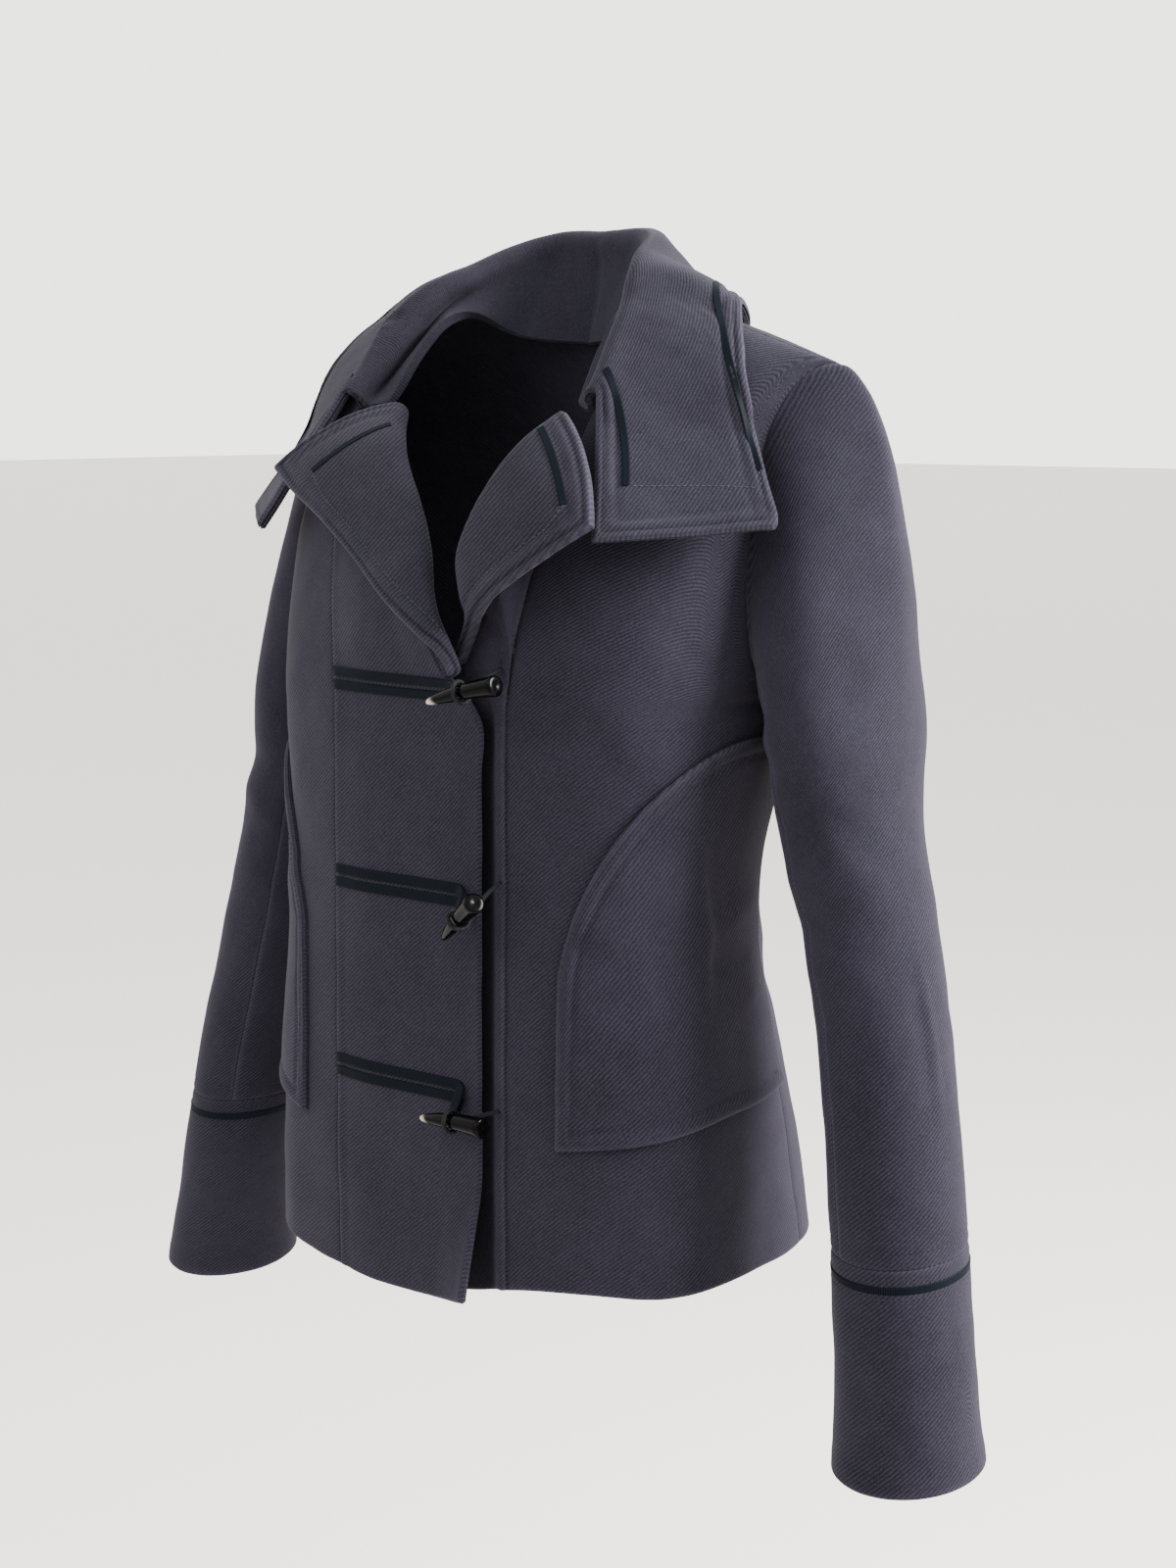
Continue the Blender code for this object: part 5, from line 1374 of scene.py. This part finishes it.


def dress_body():
    """The back, side fronts and front bands."""
    pieces = {}
    for side, name in ((1, "left"), (-1, "right")):
        grid = Grid(front_side_surface(side), np.linspace(0, 1, 28), np.linspace(0, 1, 58), side)
        lift = body_height(grid.point)
        height = -0.5 * MM * near(grid.left, SEAM_HOLLOW) - 0.7 * MM * near(grid.right, SEAM_HOLLOW)
        height += hem_step(grid)
        tone = SEAM_WEAR * (0.5 * near(grid.right, 2.2 * MM) + near(grid.below, 1.8 * MM))
        # painted shade: a dark line on the panel beside its band's seam, where the thicker band shades it
        tone -= 0.20 * near(grid.left - 0.6 * MM, 1.6 * MM)
        if side > 0:
            tone -= 0.07 * press_marks(grid.point)
            lift = lift + 0.3 * MM * press_marks(grid.point)
        piece = shell(f"front_side_{name}", grid, CLOTH, height, WOOL, (SEAM, SEAM, FREE, SEAM), tone,
                      lift)
        pieces[f"front_side_{name}"] = (piece, grid, "draped")
        grid = Grid(band_surface(side), np.linspace(0, 1, 13), np.linspace(0, 1, 80), 1.0)
        free, seam = (grid.left, grid.right) if side > 0 else (grid.right, grid.left)
        lift = body_height(grid.point)
        height = 0.7 * MM * near(seam - 1.5 * MM, 5 * MM) - 0.4 * MM * near(free - 9 * MM, 2.5 * MM)
        height += hem_step(grid)
        if side < 0:
            low = 1 - smooth_ramp(grid.below, 240 * MM, 290 * MM)
            height -= 0.35 * MM * near(seam - 7.5 * MM, 1.3 * MM) * low
        tone = SEAM_WEAR * (0.8 * near(seam - 1.0 * MM, 1.6 * MM) + 0.35 * near(free, 2.4 * MM)
                            + near(grid.below, 1.8 * MM))
        if side < 0:
            swing = smooth_ramp(-grid.point[..., 2], *SWING_SPAN) * grid.u ** 1.3
            lift = lift + SWING * swing
            grid.point[..., 2] -= SWING_DROP * swing
        else:
            beyond = grid.point[..., 0] - OVERLAP
            low = smooth_ramp(-grid.point[..., 2], *TUCK_SPAN)
            lift = lift - TUCK * low * (1 - smooth_ramp(beyond, 0.5 * MM, 10 * MM))
            # painted shadow: the left band darkened under the right front and in a strip just past its edge
            tone -= 0.5 * low * (1 - smooth_ramp(beyond, 2 * MM, 6 * MM))
        edges = (FREE, SEAM, FREE, HIDDEN) if side > 0 else (SEAM, FREE, FREE, HIDDEN)
        piece = shell(f"front_band_{name}", grid, BAND_CLOTH, height, WOOL, edges, tone, lift)
        pieces[f"front_band_{name}"] = (piece, grid, "hung")
    grid = Grid(back_surface, np.linspace(0, 1, 46), np.linspace(0, 1, 58), 1.0)
    lift = body_height(grid.point)
    height = -0.7 * MM * (near(grid.left, SEAM_HOLLOW) + near(grid.right, SEAM_HOLLOW))
    height += hem_step(grid)
    tone = SEAM_WEAR * (0.5 * near(grid.left, 2.2 * MM) + 0.5 * near(grid.right, 2.2 * MM)
                        + near(grid.below, 1.8 * MM))
    piece = shell("back", grid, CLOTH, height, WOOL, (SEAM, SEAM, FREE, SEAM), tone, lift)
    pieces["back"] = (piece, grid, "draped")
    return pieces


def press_marks(points):
    """Soft oblongs beside each toggle, where its cord is sewn down under the cloth."""
    marks = np.zeros(points.shape[:2])
    for x, z in PRESS_MARKS:
        across = smooth_ramp(11 * MM - np.abs(points[..., 0] - x), 0, 4 * MM)
        up = smooth_ramp(9 * MM - np.abs(points[..., 2] - z), 0, 4 * MM)
        marks = np.maximum(marks, across * up * (points[..., 1] < 0))
    return marks


def dress_sleeves():
    """Top and under sleeves and turned cuffs, with the cuffs' ribbon and stitching."""
    pieces = {}
    front_seam, back_seam = SLEEVE_SEAMS
    for side, name in ((1, "left"), (-1, "right")):
        parts = (("sleeve_top", back_seam - 360, front_seam, 24), ("sleeve_under", front_seam, back_seam, 20))
        for part_name, start, end, count in parts:
            surface = sleeve_surface(side, start, end, 0.0, 2.0)
            grid = Grid(surface, np.linspace(0, 1, count), np.linspace(0, 1, 52), -side)
            lift = sleeve_height(side, grid.point)
            height = -0.6 * MM * (near(grid.left, SLEEVE_HOLLOW) + near(grid.right, SLEEVE_HOLLOW))
            height -= 0.5 * MM * near(grid.below, SLEEVE_HOLLOW)
            height += 0.9 * MM * near(grid.above - 3 * MM, 5 * MM)
            height -= 0.4 * MM * near(grid.below - 8 * MM, 1.6 * MM)
            tone = 1.1 * near(grid.above - 1 * MM, 2.2 * MM) + 0.5 * near(grid.below, 1.8 * MM)
            tone += 0.9 * (near(grid.left - 1 * MM, 1.7 * MM) + near(grid.right - 1 * MM, 1.7 * MM))
            full = f"{part_name}_{name}"
            piece = shell(full, grid, CLOTH, height, WOOL, (SEAM,) * 4, SEAM_WEAR * tone, lift)
            pieces[full] = (piece, grid, "hung")
        cuff = sleeve_surface(side, 0.0, 360.0, 2.0, 3.0)
        grid = Grid(cuff, np.linspace(0, 1, 41), np.linspace(0, 1, 12), -side, closed=True)
        lift = sleeve_height(side, grid.point)
        ribbon_at = CUFF_RIBBON * (CUFF_SEAM_HEIGHT - CUFF_HEM_HEIGHT)
        height = -0.5 * MM * (near(grid.above, SLEEVE_HOLLOW) + near(grid.above - ribbon_at, 3.0 * MM))
        height += hem_step(grid, CUFF_STEP, CUFF_STEP_SPAN)
        tone = SEAM_WEAR * (0.8 * near(grid.below, 3 * MM) + 0.6 * near(grid.above, 1.8 * MM))
        piece = shell(f"cuff_{name}", grid, CLOTH, height, WOOL, (None, None, FREE, SEAM), tone, lift)
        tree = surface_of(piece)
        turns = np.linspace(0, 1, 120, endpoint=False)
        extras = []
        for place, label in ((1 - CUFF_RIBBON, "ribbon"), (1 - CUFF_RIBBON - CUFF_STITCH, "stitch")):
            points = np.array([cuff(u, place) for u in turns])
            ways = np.array([normal_of(cuff, u, place) * -side for u in turns])
            places, ups = rest_on(tree, points, ways)
            places = smooth_line(places, 2, True)
            if label == "ribbon":
                extras.append(ribbon_piece(f"cuff_ribbon_{name}_tape", f"cuff_ribbon_{name}", places, ups,
                                           closed=True))
            else:
                extras.append(stitches(f"cuff_stitch_{name}", [(places, ups, True)], DARK_THREAD))
        lines = []
        for part_name, start, end, _ in parts:
            host = sleeve_surface(side, start, end, 0.0, 2.0)
            tree = surface_of(pieces[f"{part_name}_{name}"][0])
            points, ways = host_line(host, lambda t: (mix(0.02, 0.98, t), 0.0175), 60, -side)
            places, ups = rest_on(tree, points, ways)
            lines.append((places, ups, False))
        extras.append(stitches(f"sleeve_stitch_{name}", lines, DARK_THREAD))
        pieces[f"cuff_{name}"] = (piece, grid, "hung", extras)
    return pieces


COLLAR_BORDER = 11 * MM         # from a collar's edge to its stitched line
LAPEL_BORDER = 12 * MM
COLLAR_SPACING = 3.3 * MM       # between the points of the collar's shell
LEAF_SPACING = 2.9 * MM         # the same on a lapel or a pocket patch
COLLAR_MIDDLE_Y = 30 * MM       # the line the collar's grain runs round
COLLAR_ROUND = 165 * MM         # cloth along the collar for each radian of that turn
FACE_SPAN = (0.36, 0.50)        # place across a leaf where its flat face begins
LEAF_START = 0.40               # place across a leaf where its ends start to be edges


def distance_to(grid, lines):
    """How far each point of a grid is from the nearest of some lines of points."""
    flat = grid.point.reshape(-1, 3)
    return np.min([path_distance(flat, line[::2])[0] for line in lines], axis=0).reshape(grid.u.shape)


def leaf_lines(grid, columns):
    """A leaf's outer edge, and its ends from the roll out, by their columns."""
    return [grid.point[-1]] + [grid.point[:, c][grid.v[:, c] > LEAF_START] for c in columns]


def leaf_tone(distance):
    """Lighter along a leaf's edge and a little lighter over its border, with painted shade in the groove of its
    border.
    """
    # painted shade in the border's groove, 4.4 mm in from the edge; lighter worn edge from SEAM_WEAR
    tone = 0.10 * (1 - smooth_ramp(distance, 9 * MM, 12 * MM)) - 0.30 * near(distance - 4.4 * MM, 0.9 * MM)
    return tone + SEAM_WEAR * near(distance, 1.6 * MM)


def leaf_height(distance, inset, face):
    """A leaf's border stands a little proud of its stitched line. Face is 1 on the leaf and 0 on the roll."""
    border = 0.8 * MM * near(distance - inset * 0.45, inset * 0.42)
    groove = 1.2 * MM * near(distance - 4.4 * MM, 1.0 * MM)
    return (border - 0.9 * MM * near(distance - inset, 1.9 * MM) - groove) * face


def dress_collar():
    """The collar and lapels, their ribbons and their stitched lines."""
    pieces = {}
    collar = on_body(body_tree(), collar_surface)
    grid = Grid(collar, np.linspace(0, 1, 121), np.linspace(0, 1, 50), 1.0, spacing=COLLAR_SPACING)
    face = smooth_ramp(grid.v, *FACE_SPAN)
    distance = distance_to(grid, leaf_lines(grid, (0, -1)))
    lift = soft(grid.point) * 1.2
    height = leaf_height(distance, COLLAR_BORDER, face)
    away = COLLAR_MIDDLE_Y - grid.point[..., 1]
    turn, reach = np.arctan2(grid.point[..., 0], away), np.hypot(grid.point[..., 0], away)
    turn = np.where(turn < 0, turn + 2 * np.pi, turn) * COLLAR_ROUND
    piece = shell("collar", grid, LEAF, height, FACING, (DOUBLE, DOUBLE, HIDDEN, DOUBLE),
                  leaf_tone(distance) * face, lift, (turn, 0.75 * (grid.point[..., 2] - reach)))
    tree = surface_of(piece)
    edge_line = laid_line(tree, collar, collar_edge_path, 150, 1.0)
    extras = [ribbon_piece("collar_edge_ribbon", "collar_ribbon_edge", *edge_line)]
    for side, name in ((1, "left"), (-1, "right")):
        end_line = laid_line(tree, collar, collar_end_path(side), 30, 1.0)
        extras.append(ribbon_piece(f"collar_end_ribbon_{name}", f"collar_ribbon_end_{name}", *end_line))
        low, high = COLLAR_END_RIBBON[1], collar_edge_path(1.0)[1]

        def bottom(t, side=side, low=low, high=high):
            station = mix(low[0], EDGE_RIBBON_REACH, t)
            return (1 + side * station) / 2, mix(low[1], high, t)

        sewn = [(*laid_line(tree, collar, bottom, 60, 1.0), False)]
        extras.append(stitches(f"collar_stitch_{name}", sewn, PALE_THREAD))
    pieces["collar"] = (piece, grid, "folded", extras)
    for side, name, table in ((1, "left", LAPEL_LEFT), (-1, "right", LAPEL_RIGHT)):
        lapel = lapel_surface(table)
        reach = (table[-1][0] - LAPEL_TOP) / (1 - LAPEL_TOP)
        grid = Grid(lapel, np.linspace(0, reach, 46), np.linspace(0, 1, 46), side, spacing=LEAF_SPACING)
        face = smooth_ramp(grid.v, *FACE_SPAN)
        distance = distance_to(grid, leaf_lines(grid, (0,)))
        height = leaf_height(distance, LAPEL_BORDER, face)
        across = grid.point[..., 0] * 0.80 + grid.point[..., 1] * 0.60
        piece = shell(f"lapel_{name}", grid, LEAF, height, FACING, (DOUBLE, FREE, HIDDEN, DOUBLE),
                      leaf_tone(distance) * face, soft(grid.point), (across, grid.point[..., 2]))
        tree = surface_of(piece)
        ribbon = ribbon_piece(f"lapel_{name}_ribbon", f"lapel_ribbon_{name}",
                              *laid_line(tree, lapel, lapel_path, 40, side))

        def down(t, table=table):
            u = mix(LAPEL_RIBBON[1][0], 0.93, t)
            crest, edge = points_at(table, u), points_at(table, u, 2)
            reach = np.linalg.norm(edge - crest)
            share = 1 - (1 - FOLD_END) * LAPEL_BORDER * 1.15 / reach
            return u, mix(LAPEL_RIBBON[1][1], max(share, 0.5), min(t * 6, 1.0))

        sewn = [(*laid_line(tree, lapel, down, 70, side), False)]
        thread = stitches(f"lapel_stitch_{name}", sewn, PALE_THREAD)
        pieces[f"lapel_{name}"] = (piece, grid, "folded", [ribbon, thread])
    return pieces


def laid_line(tree, host, path, steps, facing):
    """A line along path(t) of a surface, laid on the finished piece: its points and ways up."""
    points, ways = host_line(host, path, steps, facing)
    places, ups = rest_on(tree, points, ways)
    return smooth_line(places, 4), smooth_line(ups, 4)


def dress_pockets():
    """The pocket patches with a rounded rim, a stitched line and the bag's ridge pressed through."""
    pieces = {}
    for side, name in ((1, "left"), (-1, "right")):
        surface = patch_surface(side)
        grid = Grid(surface, np.linspace(0, 1, 40) ** 1.7, np.linspace(0, 1, 34), side, spacing=LEAF_SPACING)
        flat = grid.point.reshape(-1, 3)
        distance = distance_to(grid, (grid.point[:, 0], grid.point[0], grid.point[-1]))
        pressed = 1 - 0.75 * smooth_ramp(grid.u, 0.70, 0.92) * smooth_ramp(grid.v, 0.70, 0.92)
        wall = PATCH * pressed * (0.80 + 0.20 * near(distance - 4 * MM, 4.5 * MM))
        wall -= 1.1 * MM * near(distance - PATCH_RIM, 1.7 * MM) * (grid.u < 0.96)
        bag = np.array([surface(u, v) for u, v in POCKET_BAG])
        bag_line = np.array([smooth_at(np.arange(4), bag, t) for t in np.linspace(0, 3, 16)])
        gap, place = path_distance(flat, bag_line)
        ridge = (near(gap, 3.4 * MM) * np.sin(np.pi * place) ** 0.5).reshape(wall.shape)
        wall += 1.0 * MM * ridge
        lift = body_height(grid.point)
        tone = SEAM_WEAR * (near(distance - 0.8 * MM, 1.8 * MM) + 0.35 * ridge)
        piece = shell(f"pocket_{name}", grid, -PATCH_AIR, wall, WOOL, (RIM, SEAM, RIM, RIM), tone, lift)
        tree = surface_of(piece)
        inset = np.argmin(np.abs(grid.left[len(grid.point) // 2] - PATCH_RIM))
        low = np.argmin(np.abs(grid.below[:, -1] - PATCH_RIM))
        high = len(grid.point) - 1 - low
        line, ways = (np.concatenate([at[low, :inset - 1:-1], at[low:high, inset], at[high, inset:]])
                      for at in (grid.point, grid.normal))
        places, ups = rest_on(tree, line, ways)
        places, ups = smooth_line(places, 3), smooth_line(ups, 3)
        thread = stitches(f"pocket_stitch_{name}", [(places, ups, False)], DARK_THREAD)
        pieces[f"pocket_{name}"] = (piece, grid, "laid", [thread])
    return pieces


LOOP_RUN_STEPS = 34
LOOP_BRIDGE_STEPS = 10
LOOP_BACK = 1.0 * MM            # from a toggle's waist back to where its loop starts to turn
LOOP_UNDER = 4.6 * MM           # from the waist in to the turn
LOOP_TURN = (4.0 * MM, 2.3 * MM)  # the turn's reach and half its height


def dress_loops(band_piece):
    """The double tape loops: two runs along the band that narrow and close round the toggle's waist."""
    tree = surface_of(band_piece)
    band = band_surface(-1)
    reach_out, half_high = LOOP_TURN
    made = []
    for number, (height, ends) in enumerate(zip(LOOP_HEIGHTS, TOGGLE_ENDS), 1):
        disc, tip = (np.array(end) for end in ends)
        centre = mix(disc, tip, 0.50) + np.array([-LOOP_BACK, LOOP_UNDER, 0])
        runs = []
        for side in (1, -1):
            run = []
            for x in np.linspace(LOOP_START_X, LOOP_END_X - 4 * MM, LOOP_RUN_STEPS):
                u, v = find_on(band, x, height + side * LOOP_SPREAD, (0.5, 0.4))
                run.append((band(u, v), normal_of(band, u, v)))
            points, normals = rest_on(tree, *(np.array(values) for values in zip(*run)))
            last, way = points[-1], unit(points[-1] - points[-3])
            goal = centre + np.array([0, 0, side * half_high])
            reach = np.linalg.norm(goal - last)
            bridge = [hermite(last, goal, way, np.array([1.0, 0, 0]), reach, t)
                      for t in np.linspace(0.12, 1, LOOP_BRIDGE_STEPS)]
            points = np.concatenate([points, bridge])
            normals = np.concatenate([normals, np.tile(normals[-1], (LOOP_BRIDGE_STEPS, 1))])
            runs.append((points, normals))
        (above, above_ways), (under, under_ways) = runs
        turn = [centre + np.array([reach_out * math.sin(angle), 0, half_high * math.cos(angle)])
                for angle in np.radians(np.linspace(20, 160, 8))]
        line = np.concatenate([above, turn, under[::-1]])
        ways = np.concatenate([above_ways, np.tile(above_ways[-1], (len(turn), 1)), under_ways[::-1]])
        made.append(ribbon_piece(f"loop_{number}_tape", f"loop_{number}", smooth_line(line, 2), ways,
                                 LOOP_TAPE[0] * 0.93, 1.1 * MM, 0.1 * MM))
    return made


# A horn toggle: share of its length from the flat end, and radius
HORN_FINE = ((0.000, 0.0044), (0.004, 0.0053), (0.012, 0.0058), (0.025, 0.0060), (0.12, 0.0056), (0.22, 0.0053),
             (0.34, 0.0050), (0.42, 0.0048), (0.455, 0.0045), (0.48, 0.0042), (0.505, 0.0041), (0.53, 0.0043),
             (0.56, 0.0045), (0.62, 0.0043), (0.70, 0.0039), (0.78, 0.0034), (0.84, 0.0030), (0.90, 0.0025),
             (0.94, 0.0021), (0.97, 0.0016), (0.99, 0.0010), (1.0, 0.0004))
HORN_SIDES = 36
HORN_END = ((0.55, 0.0), (0.22, 0.2 * MM), (0.02, 0.3 * MM))  # the slight dish of the flat end: girth and depth
PALE_TIP = (0.70, 0.0, 0.70)    # how pale each toggle's worn point is
CORD_SIDES = 16
CORD_LAY_LENGTH = 9 * MM        # along a cord, for one turn of its strands


def dress_toggles():
    """Horn toggles, thin at the waist and bowed to a pale point, and their twisted cords."""
    angles = 2 * np.pi * np.arange(HORN_SIDES) / HORN_SIDES
    cord_angles = 2 * np.pi * np.arange(CORD_SIDES) / CORD_SIDES
    keys, radii = zip(*HORN_FINE)
    shares = np.concatenate([np.linspace(a, b, 3)[:-1] for a, b in zip(keys, keys[1:])] + [[1.0]])
    for number, (disc, tip) in enumerate(TOGGLE_ENDS, 1):
        disc, tip = np.array(disc), np.array(tip)
        axis = unit(tip - disc)
        down = unit(np.array([0, 0, -1.0]) + axis * axis[2])
        out = np.cross(axis, down)
        rings, tones = [], []
        for share in shares:
            radius = np.interp(share, keys, radii) * (1 + 0.018 * np.cos(3 * angles + 5 * share))
            rings.append(toggle_axis_point(disc, tip, down, share)
                         + radius[:, None] * (np.cos(angles)[:, None] * down + np.sin(angles)[:, None] * out))
            under = 0.5 + 0.5 * np.cos(angles)
            tones.append(smooth_ramp(share + 0.08 * under, 0.90, 0.99) * PALE_TIP[number - 1])
        flat_end = rings[0] - rings[0].mean(0)
        for girth, depth in HORN_END:
            rings.insert(0, disc + axis * depth + flat_end * girth)
            tones.insert(0, np.zeros(HORN_SIDES))
        rings = np.array(rings)
        finish_mesh(f"toggle_{number}_horn", rings.reshape(-1, 3), ring_faces(rings), HORN,
                    [f"toggle_{number}"], tone=np.concatenate(tones))
        line = np.array(cord_points(disc, tip))
        fine = np.array([smooth_at(np.arange(len(line)), line, t) for t in np.linspace(0, len(line) - 1, 150)])
        way, run = line_frame(fine)
        guide = np.cross(way, np.array([0.31, 0.17, 0.93]))
        guide /= np.linalg.norm(guide, axis=1, keepdims=True)
        other = np.cross(way, guide)
        strands = np.cos(3 * (cord_angles[None, :] - run[:, None] * 2 * np.pi / CORD_LAY_LENGTH))
        girth = CORD_RADIUS * (1 + 0.09 * strands)
        rings = fine[:, None, :] + girth[..., None] * (np.cos(cord_angles)[None, :, None] * guide[:, None, :]
                                                       + np.sin(cord_angles)[None, :, None] * other[:, None, :])
        finish_mesh(f"toggle_{number}_cord", rings.reshape(-1, 3), ring_faces(rings), CORD,
                    [f"toggle_cord_{number}"])


PHOTO = (1200.0, 1600.0)        # the photograph's size, in pixels
FOCAL = 2800.0                  # the lens, in the same pixels
AXIS_PIXEL, HORIZON_PIXEL = 531.0, 404.0  # where the body's middle line and the camera's height fall
CAMERA_TURN = 41.0              # degrees round from the front, towards the wearer's left
CAMERA_DISTANCE, CAMERA_HEIGHT = 1.63, -0.0625


def place_camera():
    """The photograph's view: from the wearer's front left, a little below the neck's height."""
    turn, distance, height = math.radians(CAMERA_TURN), CAMERA_DISTANCE, CAMERA_HEIGHT
    yaw = math.atan((AXIS_PIXEL - PHOTO[0] / 2) / FOCAL)
    pitch = math.atan((PHOTO[1] / 2 - HORIZON_PIXEL) / FOCAL)
    ahead = Vector((-math.sin(turn), math.cos(turn), 0.0))
    right = Vector((math.cos(turn), math.sin(turn), 0.0))
    level = ahead * math.cos(yaw) - right * math.sin(yaw)
    look = level * math.cos(pitch) + Vector((0, 0, -math.sin(pitch)))
    data = bpy.data.cameras.new("camera")
    data.sensor_width = 36.0
    data.lens = FOCAL / PHOTO[1] * data.sensor_width
    camera = bpy.data.objects.new("camera", data)
    camera.location = (distance * math.sin(turn), -distance * math.cos(turn), height)
    camera.rotation_euler = look.to_track_quat("-Z", "Y").to_euler()
    bpy.context.scene.collection.objects.link(camera)
    bpy.context.scene.camera = camera


def area_light(name, place, aim, size, power, color):
    data = bpy.data.lights.new(name, "AREA")
    data.shape = "DISK"
    data.size = size
    data.energy = power
    data.color = color
    light = bpy.data.objects.new(name, data)
    light.location = place
    light.rotation_euler = (Vector(aim) - Vector(place)).to_track_quat("-Z", "Y").to_euler()
    bpy.context.scene.collection.objects.link(light)


FLOOR = -1.25                   # its height
STAGE_HALF = 40.0
STAGE_STEPS = 24


def make_stage():
    """A plain pale floor and soft studio light from all round."""
    line = STAGE_HALF * np.linspace(-1, 1, STAGE_STEPS + 1)
    row = len(line)
    corners = [r * row + c for r in range(STAGE_STEPS) for c in range(STAGE_STEPS)]
    mesh = bpy.data.meshes.new("floor")
    mesh.from_pydata([(x, y, FLOOR) for y in line for x in line], [],
                     [(a, a + 1, a + row + 1, a + row) for a in corners])
    floor = bpy.data.objects.new("floor", mesh)
    material, tree, shader = new_material("floor_pale", (0.72, 0.71, 0.69), 0.85)
    shade = node(tree, "ShaderNodeTexNoise", in_Scale=1.5, in_Detail=2.0)
    color = ramp_between(tree, shade.outputs["Fac"], (0.52, 0.495, 0.47), (0.60, 0.572, 0.545))
    tree.links.new(color, shader.inputs["Base Color"])
    floor.data.materials.append(material)
    bpy.context.scene.collection.objects.link(floor)
    world = bpy.data.worlds.new("studio")
    world.use_nodes = True
    background = world.node_tree.nodes["Background"]
    background.inputs["Color"].default_value = (1.0, 0.99, 0.955, 1.0)
    background.inputs["Strength"].default_value = 3.2
    bpy.context.scene.world = world
    area_light("key", (2.3, 1.20, 1.00), (0.05, 0.0, -0.35), 1.5, 640.0, (1.0, 0.985, 0.96))
    area_light("fill", (-0.3, -2.0, 1.3), (0.05, -0.1, -0.3), 1.6, 52.0, (0.95, 0.97, 1.0))
    area_light("back", (0.4, 2.6, 1.8), (0.0, 0.0, -0.2), 1.8, 60.0, (1.0, 1.0, 1.0))


place_camera()
make_stage()
PIECES = {**dress_body(), **dress_sleeves(), **dress_collar(), **dress_pockets()}
LOOPS = dress_loops(PIECES["front_band_right"][0])
dress_toggles()

# Each piece with what it rests on and its extras, passed to declare, which only works out its sizes
for title, (piece, grid, held, *extras) in PIECES.items():
    extras = list(extras[0]) if extras else []
    if title == "front_band_right":
        extras += LOOPS
    declare(piece, grid, held, extras)
